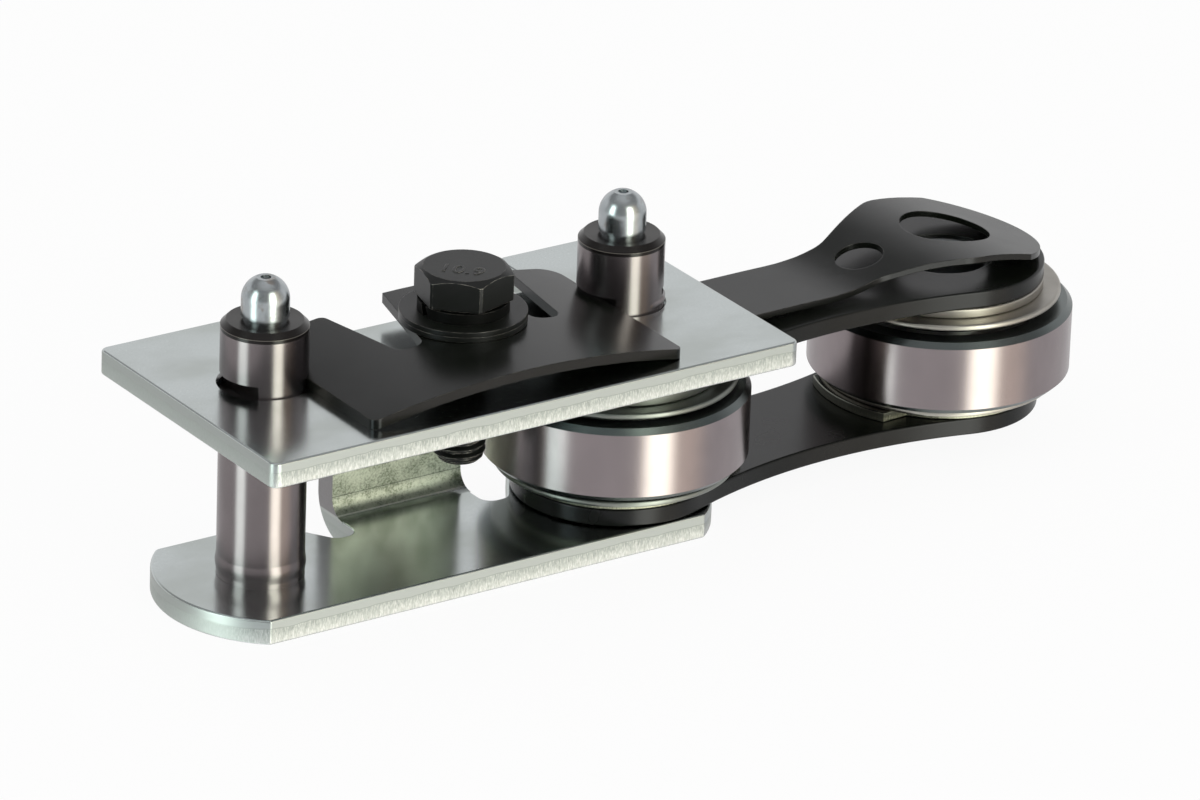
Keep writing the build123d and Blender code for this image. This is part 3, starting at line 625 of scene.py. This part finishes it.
@dataclass(frozen=True)
class GroundSteel(Finish):
    """Hardened steel ground between centres, black where the wheel did not reach.

    Fine rings run round the axis, so lights stretch into tall bands along it. The head and the
    chamfers keep the black hardening scale, and anything cut below the ground face is drawn
    black.
    """

    axis: tuple[float, float]
    radius: float
    top: float
    bottom: float
    tone: str = "#8a8284"
    shade: str = "#7b7475"
    scale: str = "#1c1918"
    rim: str = "#b8b2a8"
    scale_metal: float = 0.45
    roughness: float = 0.24
    spread: float = 0.05
    stretch: float = 0.8
    quarter_turn: float = 0.25
    chamfer: float = 0.0
    blur: float = 0.05 * MM
    ground_depth: float = 0.12 * MM
    bright_rim: Ramp = Ramp(0.09 * MM, 0.03 * MM, most=0.25)
    clouds: Grain = Grain((4, 4, 7), detail=3)
    # Grinding rings are finer than the eye sees; these are drawn 0.25 mm apart.
    rings: Grain = Grain((60, 60, 0.25), detail=2)
    ring_depth: float = 0.003 * MM

    def paint(self, node: Node) -> dict[str, Any]:
        """Build the ground face and the black parts.

        Args:
            node: adds a node to the material.

        Returns:
            Shader sockets of the ground steel.
        """
        clouds = self.clouds.lay(node)
        level = height(node)
        dark = self.unground(node, level)
        from_rim = node("Math", {0: level, 1: self.chamfer}, operation="SUBTRACT")
        from_rim = node("Math", {0: from_rim}, operation="ABSOLUTE")
        rim = node("MapRange", self.bright_rim.over(from_rim), **SMOOTH)
        pair = {6: linear(self.tone), 7: linear(self.shade)}
        steel = node("Mix", {0: clouds, **pair}, **COLOUR_MIX)
        colour = node("Mix", {0: dark, 6: steel, 7: linear(self.scale)}, **COLOUR_MIX)
        metal = {0: dark, 1: self.scale_metal - 1.0, 2: 1.0}
        rough = {0: clouds, 1: self.spread, 2: self.roughness - self.spread / 2}
        rings = {"Height": self.rings.lay(node), "Distance": self.ring_depth}
        return {
            "Base Color": node("Mix", {0: rim, 6: colour, 7: linear(self.rim)}, **COLOUR_MIX),
            "Metallic": node("Math", metal, operation="MULTIPLY_ADD"),
            "Roughness": node("Math", rough, operation="MULTIPLY_ADD"),
            "Anisotropic": self.stretch,
            "Anisotropic Rotation": self.quarter_turn,
            "Tangent": node("Tangent", direction_type="RADIAL", axis="Z"),
            "Normal": node("Bump", rings),
        }

    def unground(self, node: Node, level: Socket) -> Socket:
        """Tell the black parts from the ground face.

        Args:
            node: adds a node to the material.
            level: socket with the height of the point.

        Returns:
            Socket that is 1 on the black parts.
        """
        place = node("TexCoord", output="Object")
        flat = node("VectorMath", {0: place, 1: LEVEL_PART}, operation="MULTIPLY")
        centre = {0: flat, 1: (*self.axis, 0)}
        reach = node("VectorMath", centre, "Value", operation="DISTANCE")
        head = Ramp(self.top - self.blur, self.top + self.blur)
        foot = Ramp(self.bottom + self.blur, self.bottom - self.blur)
        inner = self.radius - self.ground_depth
        above = node("MapRange", head.over(level), **SMOOTH)
        below = node("MapRange", foot.over(level), **SMOOTH)
        # Anything inside the ground radius, such as a pin's notch, is drawn black.
        within = node("MapRange", Ramp(inner, inner - self.blur).over(reach), **SMOOTH)
        dark = node("Math", {0: above, 1: below}, operation="MAXIMUM")
        return node("Math", {0: dark, 1: within}, operation="MAXIMUM")


@dataclass(frozen=True)
class BrightPlate(Finish):
    """Turned steel with a bright zinc plate, as on grease nipples.

    Reflections are almost mirror sharp, broken by small dents and a few brown stains.
    """

    tone: str = "#b9bec1"
    shade: str = "#a0a6a9"
    stain: str = "#7a6248"
    stained: float = 0.0
    dents: float = 0.04 * MM
    roughness: float = 0.24
    spread: float = 0.12
    # Dents are 2 mm across and stains 3 to 4 mm.
    clouds: Grain = Grain((2, 2, 2), detail=3)
    spots: Grain = Grain((3.4, 3.4, 3.4), detail=3, rough=0.6, seed=11)
    spotted: Range = (0.55, 0.72)

    def paint(self, node: Node) -> dict[str, Any]:
        """Build the plated surface.

        Args:
            node: adds a node to the material.

        Returns:
            Shader sockets of the plate.
        """
        clouds = self.clouds.lay(node)
        spotted = Ramp(*self.spotted, self.stained).over(self.spots.lay(node))
        brown = node("MapRange", spotted, **SMOOTH)
        pair = {6: linear(self.tone), 7: linear(self.shade)}
        steel = node("Mix", {0: clouds, **pair}, **COLOUR_MIX)
        rough = {0: clouds, 1: self.spread, 2: self.roughness - self.spread / 2}
        return {
            "Base Color": node("Mix", {0: brown, 6: steel, 7: linear(self.stain)}, **COLOUR_MIX),
            "Metallic": 1.0,
            "Roughness": node("Math", rough, operation="MULTIPLY_ADD"),
            "Normal": node("Bump", {"Height": clouds, "Distance": self.dents}),
        }


@dataclass(frozen=True)
class SatinSteel(Finish):
    """Rolled or turned steel without plating, such as shields, cages and bushings.

    Soft broad reflections with a slightly warm tone, and edges rolled over by the tumbler.
    """

    tone: str = "#8c8882"
    shade: str = "#77746f"
    roughness: float = 0.36
    spread: float = 0.14
    rolled_edge: float = 0.3 * MM
    # Rolling leaves 5 mm clouds and a 0.3 mm grain.
    clouds: Grain = Grain((5, 5, 5), detail=3)
    fine: Grain = Grain((0.3, 0.3, 0.3), detail=2)
    grain_depth: float = 0.004 * MM

    def paint(self, node: Node) -> dict[str, Any]:
        """Build the satin surface.

        Args:
            node: adds a node to the material.

        Returns:
            Shader sockets of the satin steel.
        """
        clouds = self.clouds.lay(node)
        pair = {6: linear(self.tone), 7: linear(self.shade)}
        rounded = node("Bevel", {"Radius": self.rolled_edge}, samples=BEVEL_SAMPLES)
        rough = {0: clouds, 1: self.spread, 2: self.roughness - self.spread / 2}
        relief = {"Height": self.fine.lay(node), "Distance": self.grain_depth, "Normal": rounded}
        return {
            "Base Color": node("Mix", {0: clouds, **pair}, **COLOUR_MIX),
            "Metallic": 1.0,
            "Roughness": node("Math", rough, operation="MULTIPLY_ADD"),
            "Normal": node("Bump", relief),
        }


# ------------------------------------------------------------------ studio
@dataclass(frozen=True)
class SoftBox:
    """A tall soft box that stands at one side, as metal sees it.

    The pale table mirrors it, so it goes on below the horizon at another strength. Angles
    are in degrees; the blur and the top edge are sines of elevation.
    """

    azimuth: float
    half_width: float
    edge: float
    above: float
    below: float
    colour: str
    horizon_blur: float = 0.03
    top_edge: Ramp = Ramp(0.68, 0.56)

    def glow(self, node: Node, flat: Socket, level: Socket) -> Socket:
        """Work out how bright the soft box is in each direction.

        Args:
            node: adds a node to the world.
            flat: unit vector of the direction on the floor plan.
            level: sine of the direction's elevation.

        Returns:
            Socket with the colour.
        """
        turn = math.radians(self.azimuth)
        way = (math.sin(turn), math.cos(turn), 0)
        cosine = node("VectorMath", {0: flat, 1: way}, "Value", operation="DOT_PRODUCT")
        outer = math.cos(math.radians(self.half_width + self.edge))
        inner = math.cos(math.radians(max(self.half_width - self.edge, 0)))
        across = node("MapRange", Ramp(outer, inner).over(cosine), **SMOOTH)
        mirror = Ramp(-self.horizon_blur, self.horizon_blur, self.above, self.below)
        strength = node("MapRange", mirror.over(level), **SMOOTH)
        upto = node("MapRange", self.top_edge.over(level), **SMOOTH)
        strength = node("Math", {0: strength, 1: upto}, operation="MULTIPLY")
        strength = node("Math", {0: strength, 1: across}, operation="MULTIPLY")
        red, green, blue, _ = linear(self.colour)
        tinted = {0: (red, green, blue), "Scale": strength}
        return node("VectorMath", tinted, operation="SCALE")


@dataclass(frozen=True)
class Lamp:
    """A soft box as matt surfaces and shadows see it: a rectangle of light."""

    name: str
    azimuth: float
    elevation: float
    width: float
    power: float
    colour: str
    length: float = 0.9
    distance: float = 1.6

    def hang(self, aim: Vector) -> None:
        """Place the lamp on its stand.

        Args:
            aim: point that the lamp faces.
        """
        data = bpy.data.lights.new(self.name, "AREA")
        data.shape = "RECTANGLE"
        data.size = self.width
        data.size_y = self.length
        data.energy = self.power
        data.color = linear(self.colour)[:3]
        lamp = bpy.data.objects.new(self.name, data)
        az, el = math.radians(self.azimuth), math.radians(self.elevation)
        way = Vector((math.sin(az) * math.cos(el), math.cos(az) * math.cos(el), math.sin(el)))
        lamp.location = aim + way * self.distance
        lamp.rotation_euler = way.to_track_quat("Z", "Y").to_euler()
        lamp.visible_glossy = False
        bpy.context.collection.objects.link(lamp)
        log.info("lamp %s", lamp.name)


@dataclass(frozen=True)
class Studio:
    """Pale floor, soft light and the camera.

    Brightnesses are what metal sees, 1 being white; ranges are sines of elevation.
    """

    azimuth: float = 34.587
    elevation: float = 23.552
    roll: float = 2.067
    distance: float = 1714.9 * MM
    lens: float = 268.5
    sensor: float = 36.0
    farthest: float = 100.0
    aim: Triple = (34.248 * MM, -3.027 * MM, 25.42 * MM)
    backdrop: float = 0.88
    room: float = 0.3
    wall_turn: float = 0.4
    ceiling: float = 0.34
    ceiling_from: Ramp = Ramp(0.43, 0.60)
    top_light: Ramp = Ramp(0.75, 1.0, most=0.35)
    table: float = 0.76
    horizon: Ramp = Ramp(-0.03, 0.03)
    matt_light: float = 0.75
    floor_half: float = 6.0
    paper: str = "#ececec"
    paper_roughness: float = 0.8
    paper_white: float = 0.93

    @property
    def camera_side(self) -> float:
        """Azimuth of the side that the camera stands on, in degrees."""
        return self.azimuth + 180

    @property
    def soft_boxes(self) -> tuple[SoftBox, ...]:
        """The soft boxes as metal sees them: left, right and a dim warm one beyond it."""
        side = self.camera_side
        return (
            SoftBox(side + 54, half_width=11, edge=6, above=4.2, below=2.8, colour="#ecfff8"),
            SoftBox(side - 39, half_width=8.5, edge=9, above=6.4, below=3.7, colour="#f8ffee"),
            SoftBox(side - 54, half_width=22, edge=14, above=0.55, below=0.5, colour="#ffe4bc"),
        )

    @property
    def lamps(self) -> tuple[Lamp, Lamp]:
        """The left and right soft box as matt surfaces see them."""
        side = self.camera_side
        return (
            Lamp("soft_box_left", side + 54, 22, width=0.4, power=3, colour="#f4f7ff"),
            Lamp("soft_box_right", side - 40, 24, width=0.7, power=7, colour="#fff9f0"),
        )

    def camera(self) -> None:
        """Set up the camera."""
        az, el, roll = (math.radians(v) for v in (self.azimuth, self.elevation, self.roll))
        forward = Vector(
            (math.sin(az) * math.cos(el), math.cos(az) * math.cos(el), -math.sin(el))
        )
        right = Vector((math.cos(az), -math.sin(az), 0))
        up = right.cross(forward)
        right_rolled = right * math.cos(roll) + up * math.sin(roll)
        up_rolled = up * math.cos(roll) - right * math.sin(roll)
        data = bpy.data.cameras.new("camera")
        data.lens = self.lens
        data.sensor_width = self.sensor
        data.clip_end = self.farthest
        camera = bpy.data.objects.new("camera", data)
        turn = Matrix((right_rolled, up_rolled, -forward)).transposed().to_4x4()
        stand = Vector(self.aim) - forward * self.distance
        camera.matrix_world = Matrix.Translation(stand) @ turn
        bpy.context.collection.objects.link(camera)
        bpy.context.scene.camera = camera

    def floor(self) -> None:
        """Lay the pale paper that the part stands on; it keeps the part's shadow."""
        mesh = bpy.data.meshes.new("floor")
        half = self.floor_half
        corners = [(-half, -half, 0), (half, -half, 0), (half, half, 0), (-half, half, 0)]
        mesh.from_pydata(corners, [], [(0, 1, 2, 3)])
        floor = bpy.data.objects.new("floor", mesh)
        # Metal sees the lit table of the room around it instead of this plane.
        floor.visible_glossy = False
        bpy.context.collection.objects.link(floor)
        material = bpy.data.materials.new("white_paper_floor")
        material.use_nodes = True
        tree = material.node_tree
        node = partial(add, tree)
        shader = tree.nodes["Principled BSDF"]
        shader.inputs["Base Color"].default_value = linear(self.paper)
        shader.inputs["Roughness"].default_value = self.paper_roughness
        glow = node("Emission", {"Color": (1, 1, 1, 1), "Strength": 1.0})
        seen = node("LightPath", output="Is Camera Ray")
        share = node("Math", {0: seen, 1: self.paper_white}, operation="MULTIPLY")
        mixed = node("MixShader", {0: share, 1: shader.outputs[0], 2: glow})
        tree.links.new(mixed, tree.nodes["Material Output"].inputs["Surface"])
        mesh.materials.append(material)

    def world(self) -> None:
        """Build the room: even for matt surfaces, with its soft boxes for metal."""
        world = bpy.data.worlds.new("room")
        bpy.context.scene.world = world
        world.use_nodes = True
        world.cycles.sampling_method = "NONE"
        tree = world.node_tree
        node = partial(add, tree)
        way = node("TexCoord", output="Generated")
        level = node("SeparateXYZ", {0: way}, "Z")
        flat = node("VectorMath", {0: way, 1: LEVEL_PART}, operation="MULTIPLY")
        flat = node("VectorMath", {0: flat}, operation="NORMALIZE")
        even = self.walls(node, flat, level)
        mirrored = node("CombineXYZ", {0: even, 1: even, 2: even})
        for soft_box in self.soft_boxes:
            glow = soft_box.glow(node, flat, level)
            mirrored = node("VectorMath", {0: mirrored, 1: glow}, operation="ADD")
        glossy = node("LightPath", output="Is Glossy Ray")
        seen = node("LightPath", output="Is Camera Ray")
        tones = {6: (self.matt_light, self.matt_light, self.matt_light, 1), 7: (1, 1, 1, 1)}
        plain = node("Mix", {0: seen, **tones}, **COLOUR_MIX)
        colour = node("Mix", {0: glossy, 6: plain, 7: mirrored}, **COLOUR_MIX)
        background = tree.nodes["Background"]
        tree.links.new(colour, background.inputs["Color"])
        background.inputs["Strength"].default_value = 1.0

    def walls(self, node: Node, flat: Socket, level: Socket) -> Socket:
        """Work out the brightness of table, walls, ceiling and top light.

        Args:
            node: adds a node to the world.
            flat: unit vector of the direction on the floor plan.
            level: sine of the direction's elevation.

        Returns:
            Socket with the brightness.
        """
        turn = math.radians(self.azimuth)
        ahead = {0: flat, 1: (math.sin(turn), math.cos(turn), 0)}
        back = node("VectorMath", ahead, "Value", operation="DOT_PRODUCT")
        round_the_room = Ramp(-self.wall_turn, self.wall_turn, self.backdrop, self.room)
        wall = node("MapRange", round_the_room.over(back), **SMOOTH)
        high = node("MapRange", self.ceiling_from.over(level), **SMOOTH)
        upper = node("Mix", {0: high, 2: wall, 3: self.ceiling}, data_type="FLOAT")
        zenith = node("MapRange", self.top_light.over(level), **SMOOTH)
        upper = node("Math", {0: upper, 1: zenith}, operation="ADD")
        sky = node("MapRange", self.horizon.over(level), **SMOOTH)
        return node("Mix", {0: sky, 2: self.table, 3: upper}, data_type="FLOAT")

    def build(self) -> None:
        """Set up floor, room, lamps and camera."""
        self.camera()
        self.floor()
        self.world()
        for lamp in self.lamps:
            lamp.hang(Vector(self.aim))


# ------------------------------------------------------------------ the part
def dress(nodes: Iterable[str], finish: Finish) -> None:
    """Give frame nodes their finish.

    Args:
        nodes: names of the nodes.
        finish: the surface treatment that they share.
    """
    for name in nodes:
        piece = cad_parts[name]
        if not piece.material_slots:
            piece.data.materials.append(None)
        for slot in piece.material_slots:
            slot.material = finish.material()
        log.info("%s: %s", name, finish.name)


def turned(
    name: str,
    rows: Sequence[Row],
    axis: Vector,
    columns: int,
    ring: bool = False,
    crease: float = 28.0,
) -> bpy.types.Object:
    """Make a closed skin from rows of points that go round an upright axis.

    Args:
        name: name of the piece.
        rows: for each row, what gives its radius and height at a turn angle in radians.
        axis: a point on the axis; its height is added to the rows.
        columns: points in a row.
        ring: whether the last row joins the first; otherwise a flat face closes each end.
        crease: bend in degrees from which an edge is drawn sharp.

    Returns:
        The piece.
    """
    turns = [2 * math.pi * column / columns for column in range(columns)]
    points: list[Vector] = []
    for row in rows:
        for turn in turns:
            radius, up = row(turn)
            points.append(axis + Vector((radius * math.cos(turn), radius * math.sin(turn), up)))
    faces: list[tuple[int, ...]] = []
    for low in range(len(rows) if ring else len(rows) - 1):
        for column in range(columns):
            after = (column + 1) % columns
            start, above = low * columns, (low + 1) % len(rows) * columns
            faces.append((start + column, start + after, above + after, above + column))
    if not ring:
        top = (len(rows) - 1) * columns
        faces.append(tuple(reversed(range(columns))))
        faces.append(tuple(range(top, top + columns)))
    mesh = bpy.data.meshes.new(name)
    mesh.from_pydata(points, [], faces)
    mesh.shade_smooth()
    mesh.set_sharp_from_angle(angle=math.radians(crease))
    piece = bpy.data.objects.new(name, mesh)
    bpy.context.collection.objects.link(piece)
    return piece


@dataclass
class HexBolt:
    """The bolt of the locking plate: forged head, strength mark and rolled thread."""

    across_flats: float = 16.8 * MM
    turn: float = math.radians(16.8)
    face_height: float = 0.4 * MM
    face_radius: float = 7.8 * MM
    head_height: float = 6.4 * MM
    crown_inset: float = 0.55 * MM
    chamfer_slope: float = math.tan(math.radians(30))
    shank: float = 5.0 * MM
    pitch: float = 1.5 * MM
    thread_depth: float = 0.9 * MM
    crest_share: float = 0.12
    flank_share: float = 0.7
    thread_start: float = 16.0 * MM
    tip_chamfer: float = 1.2 * MM
    mark: str = "10.9"
    mark_size: float = 5.0 * MM
    mark_rise: float = 0.3 * MM
    mark_bevel: float = 0.05 * MM
    mark_sink: float = 0.1 * MM
    mark_spacing: float = 1.05
    mark_turn: float = math.radians(-46)
    mark_place: float = 2.3 * MM
    rows_per_turn: int = 8
    columns: int = 96

    def hex_radius(self, turn: float) -> float:
        """Reach of the hexagon at a turn angle.

        Args:
            turn: angle round the axis, in radians.

        Returns:
            Distance from the axis to the flat, in metres.
        """
        off_flat = (turn - self.turn) % math.radians(60) - math.radians(30)
        return self.across_flats / 2 / math.cos(off_flat)

    def thread_radius(self, turn: float, up: float) -> float:
        """Radius of the thread, its flanks at 60 degrees and its tip turned down.

        Args:
            turn: angle round the axis, in radians.
            up: height above the bolt's end, in metres.

        Returns:
            Radius in metres.
        """
        wave = (up / self.pitch - turn / (2 * math.pi)) % 1.0
        from_crest = 2 * abs(wave - 0.5)
        cut = min(max((from_crest - self.crest_share) / self.flank_share, 0.0), 1.0)
        run_out = min(max((self.thread_start - up) / self.pitch, 0.0), 1.0)
        radius = self.shank - self.thread_depth * cut * run_out
        return min(radius, self.shank - self.tip_chamfer + up)

    def thread_rows(self, end: float) -> list[Row]:
        """Rows of the threaded stem, from its end up.

        Args:
            end: height of the bolt's end, in metres.

        Returns:
            The rows.
        """
        count = round(self.thread_start / self.pitch) * self.rows_per_turn
        heights = (row * self.pitch / self.rows_per_turn for row in range(count + 1))
        return [lambda turn, up=up: (self.thread_radius(turn, up), end + up) for up in heights]

    def head_rows(self, top: float) -> list[Row]:
        """Rows of the shank's top, the bearing face and the chamfered hexagon.

        Args:
            top: height of the head's top, in metres.

        Returns:
            The rows, from the shank up.
        """
        under = top - self.head_height
        crown = self.across_flats / 2 - self.crown_inset
        return [
            lambda turn: (self.shank, under),
            lambda turn: (self.face_radius, under),
            lambda turn: (self.face_radius, under + self.face_height),
            lambda turn: (self.hex_radius(turn), under + self.face_height),
            lambda turn: (
                self.hex_radius(turn),
                top - (self.hex_radius(turn) - crown) * self.chamfer_slope,
            ),
            lambda turn: (crown, top),
        ]

    def build(self) -> None:
        """Build the bolt in place of its plain frame node."""
        box = box_of("hex_bolt")
        axis = Vector((box.centre.x, box.centre.y, 0))
        rows = self.thread_rows(box.low.z) + self.head_rows(box.high.z)
        bolt = turned("bolt_with_thread", rows, axis, self.columns)
        finish = BlackOxide(
            "black_forged_bolt", bare="#b5b2a8", roughness=0.38, wear=0.9, pitting=1.0
        )
        self.fit(bolt, finish)
        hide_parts("hex_bolt")
        self.fit(self.strength_mark(axis, box.high.z), finish)

    def strength_mark(self, axis: Vector, top: float) -> bpy.types.Object:
        """Emboss the strength class on the front half of the head.

        Args:
            axis: a point on the bolt's axis.
            top: height of the head's top.

        Returns:
            The raised figures.
        """
        curve = bpy.data.curves.new("strength_mark", "FONT")
        curve.body = self.mark
        curve.size = self.mark_size
        curve.align_x = "CENTER"
        curve.align_y = "CENTER"
        curve.extrude = self.mark_rise / 2
        curve.bevel_depth = self.mark_bevel
        curve.space_character = self.mark_spacing
        flat = bpy.data.objects.new("strength_mark_outline", curve)
        bpy.context.collection.objects.link(flat)
        mesh = bpy.data.meshes.new_from_object(flat)
        bpy.data.objects.remove(flat)
        front = Vector((math.sin(self.mark_turn), -math.cos(self.mark_turn), 0))
        place = axis + Vector((0, 0, top - self.mark_sink)) + front * self.mark_place
        mesh.transform(Matrix.Translation(place) @ Matrix.Rotation(self.mark_turn, 4, "Z"))
        mark = bpy.data.objects.new("strength_mark", mesh)
        bpy.context.collection.objects.link(mark)
        return mark

    def fit(self, piece: bpy.types.Object, finish: Finish) -> None:
        """Dress a piece of the bolt and let it ride on the outer link.

        Args:
            piece: the piece.
            finish: its surface treatment.
        """
        piece.data.materials.clear()
        piece.data.materials.append(finish.material())
        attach(piece, Body.OUTER_LINK.value)
        log.info("%s: %s", piece.name, finish.name)


@dataclass
class PressedLip:
    """A low swelling of metal round a pin, where its tight hole ends.

    The profile gives how far out and how far up each row lies, as shares of the reach and of
    the height. A lip that goes only part of the way round tapers to nothing at its ends.
    """

    pin: str
    low: float
    height: float
    reach: float
    start: float = 0.0
    sweep: float = 360.0
    columns: int = 120
    root: float = 0.05 * MM
    crease: float = 60.0
    waviness: float = 2.5
    least_swell: float = 0.8
    swell_spread: float = 0.4
    profile: tuple[tuple[float, float], ...] = (
        (0, 0),
        (0.1, 0.12),
        (0.45, 0.26),
        (0.85, 0.4),
        (1, 0.5),
        (0.85, 0.6),
        (0.45, 0.74),
        (0.1, 0.88),
        (0, 1),
    )

    def swell(self, turn: float) -> float:
        """Thickness of the lip at a turn angle.

        Args:
            turn: angle round the pin, in radians.

        Returns:
            Thickness as a share of the reach.
        """
        off = (math.degrees(turn) - self.start) % 360
        inside = 1.0
        if self.sweep < 360:
            inside = math.sin(math.pi * off / self.sweep) ** 0.5 if off < self.sweep else 0.0
        place = Vector((math.cos(turn), math.sin(turn), self.low / MM)) * self.waviness
        return inside * (self.least_swell + self.swell_spread * noise.noise(place))

    def build(self, finish: Finish) -> None:
        """Build the lip round its pin.

        Args:
            finish: its surface treatment.
        """
        box = box_of(self.pin)
        inner = box.size.x / 2 - self.root
        axis = Vector((box.centre.x, box.centre.y, 0))
        rows = [
            lambda turn, out=out, up=up: (
                inner + (self.reach + self.root) * out * self.swell(turn),
                self.low + self.height * up,
            )
            for out, up in self.profile
        ]
        name = f"{self.pin}_lip"
        lip = turned(name, rows, axis, self.columns, ring=True, crease=self.crease)
        lip.data.materials.append(finish.material())
        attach(lip, Body.OUTER_LINK.value)
        log.info("%s: %s", lip.name, finish.name)


@dataclass
class OuterLink:
    """The removable link: plates, pins, nipples, locking plate and its bolt."""

    pins: tuple[str, str] = ("left", "middle")
    stains: tuple[float, float] = (0.5, 0.3)
    plate: float = 5.0 * MM
    tab_bend: float = 3.7 * MM
    pin_chamfer: float = 1.1 * MM
    black_head: float = 1.8 * MM

    def build(self) -> None:
        """Dress the outer link and build its bolt and lips."""
        self.dress_plates()
        self.dress_pins()
        self.dress_lock()
        HexBolt().build()
        self.build_lips()

    def dress_plates(self) -> None:
        """Give both plates their zinc, the lower one with its tab."""
        for plate in ("top_link_plate", "bottom_link_plate"):
            low = box_of(plate).low.z
            name, high = f"zinc_plated_{plate}", low + self.plate
            if plate == "bottom_link_plate":
                dress([plate], BentZincSheet(name, low, high, bend=self.tab_bend))
            else:
                dress([plate], ZincPlatedSheet(name, low, high))

    def dress_pins(self) -> None:
        """Dress the pins and the nipples with their valves."""
        for side, stained in zip(self.pins, self.stains):
            dress([f"{side}_pin"], self.pin_finish(f"{side}_pin"))
            nipple = BrightPlate(f"bright_zinc_{side}_nipple", stained=stained)
            dress([f"{side}_grease_nipple"], nipple)
        balls = BrightPlate("polished_check_ball", dents=0.0)
        dress([f"{side}_check_ball" for side in self.pins], balls)
        dress([f"{side}_nipple_spring" for side in self.pins], SatinSteel("drawn_spring_wire"))

    def dress_lock(self) -> None:
        """Dress the locking plate, the nut and the washers."""
        lock = BlackOxide("blackened_spring_steel", roughness=0.25, index=1.37)
        dress(["locking_spring_plate"], lock)
        fastener = BlackOxide("blackened_fastener", roughness=0.36, wear=0.8, pitting=0.8)
        dress(["lock_nut", "lower_washer", "upper_washer"], fastener)
        # The spring washer is painted almost black: painted shade under the bolt head.
        shaded_spring_washer = BlackOxide(
            "spring_washer_in_painted_shade", "#050604", "#070806", roughness=0.5, index=1.2
        )
        dress(["spring_washer"], shaded_spring_washer)

    def build_lips(self) -> None:
        """Build the swelling at the left pin's foot and the lip on the top plate."""
        floor_face = box_of("bottom_link_plate").low.z + self.plate
        foot = PressedLip(
            "left_pin", low=floor_face + 0.2 * MM, height=5.0 * MM, reach=0.25 * MM
        )
        foot.build(self.pin_finish("left_pin"))
        top_face = box_of("top_link_plate").high.z
        burr = PressedLip(
            "middle_pin", low=top_face, height=2.2 * MM, reach=0.6 * MM, start=280, sweep=140
        )
        burr.build(self.pin_finish("middle_pin"))

    def pin_finish(self, name: str) -> GroundSteel:
        """Ground face and black head for a pin.

        Args:
            name: node of the pin.

        Returns:
            The pin's surface treatment.
        """
        box = box_of(name)
        return GroundSteel(
            f"ground_steel_{name}",
            axis=(box.centre.x, box.centre.y),
            radius=box.size.x / 2,
            top=box.high.z - self.black_head,
            bottom=box.low.z - self.plate,
            chamfer=box.high.z - self.pin_chamfer,
        )


@dataclass
class InnerLink:
    """The roller link: plates, leaf spring, bushings, spacers, shields and bearings."""

    joints: tuple[str, str] = ("middle", "end")
    # The middle joint's shields are painted darker than the end joint's: painted shade of the
    # plates around them.
    shield_tones_with_painted_shade: tuple[tuple[str, str], ...] = (("#8d908c", "#767975"), ("#b1ada7", "#9a9690"))
    rolled_rim: float = 0.6 * MM
    ring_chamfer: float = 1.1 * MM

    def build(self) -> None:
        """Dress the inner link."""
        plates = BlackOxide("blackened_link_plate", roughness=0.26, index=1.34)
        dress(["upper_link_plate", "lower_link_plate"], plates)
        dress(["leaf_spring"], BlackOxide("blackened_leaf_spring", roughness=0.24, index=1.36))
        for joint, tones in zip(self.joints, self.shield_tones_with_painted_shade):
            self.dress_bearing(joint)
            self.dress_shields(joint, *tones)
            self.dress_lower_spacer(f"{joint}_{Level.LOWER.value}_spacer")

    def dress_bearing(self, joint: str) -> None:
        """Dress a joint's bearing and its bushing.

        Args:
            joint: name of the joint.
        """
        self.dress_ring(f"{joint}_outer_ring")
        bushing = SatinSteel("turned_bushing", "#77797a", "#5f6263", roughness=0.3)
        dress([f"{joint}_bushing"], bushing)
        polished = BrightPlate("polished_bearing_steel", dents=0.0)
        dress([f"{joint}_inner_ring", f"{joint}_ball_set"], polished)
        dress([f"{joint}_ball_cage"], SatinSteel("pressed_cage_sheet"))

    def dress_shields(self, joint: str, tone: str, shade: str) -> None:
        """Dress a joint's shields, and its upper spacer in their darker colour alone as painted
        shade.

        Args:
            joint: name of the joint.
            tone: colour of the clean sheet.
            shade: colour of the sheet where oil lies on it, and all of the upper spacer as
                painted shade.
        """
        sheet = SatinSteel(
            f"satin_{joint}_shield_sheet", tone, shade, rolled_edge=self.rolled_rim
        )
        dress([f"{joint}_{level.value}_shield" for level in Level], sheet)
        # The upper spacer is painted in the darker colour only: painted shade under the link
        # plate.
        shaded_disc = SatinSteel(f"satin_{joint}_spacer_in_painted_shade", shade, shade)
        dress([f"{joint}_{Level.UPPER.value}_spacer"], shaded_disc)

    def dress_lower_spacer(self, name: str) -> None:
        """Give a lower spacer its oily sheared sheet.

        Args:
            name: node of the spacer.
        """
        box = box_of(name)
        steel = ZincPlatedSheet(
            f"sheared_{name}",
            box.low.z,
            box.high.z,
            face="#8b8b84",
            cloud="#75766f",
            burnish="#6c6e66",
            fracture="#63645b",
            # Painted glints on the spacer's torn edge.
            painted_glint="#c3c3ae",
            crevice="#3a3c35",
            shaded_short_end="#6c6e66",
        )
        dress([name], steel)

    def dress_ring(self, name: str) -> None:
        """Give a bearing's outer ring its ground running face and dull chamfers.

        Args:
            name: node of the ring.
        """
        box = box_of(name)
        finish = GroundSteel(
            f"ground_{name}",
            axis=(box.centre.x, box.centre.y),
            radius=box.size.x / 2,
            top=box.high.z - self.ring_chamfer,
            bottom=box.low.z + self.ring_chamfer,
            tone="#9b9193",
            shade="#8f8688",
            scale="#656b6b",
            scale_metal=1.0,
            roughness=0.26,
        )
        dress([name], finish)


def main() -> None:
    """Build the studio, dress the sub-assemblies in order and report each."""
    logging.basicConfig(level=logging.INFO, format="%(name)s %(message)s")
    bpy.context.scene.view_settings.view_transform = "Standard"
    Studio().build()
    OuterLink().build()
    InnerLink().build()


if __name__ == "__main__":
    main()
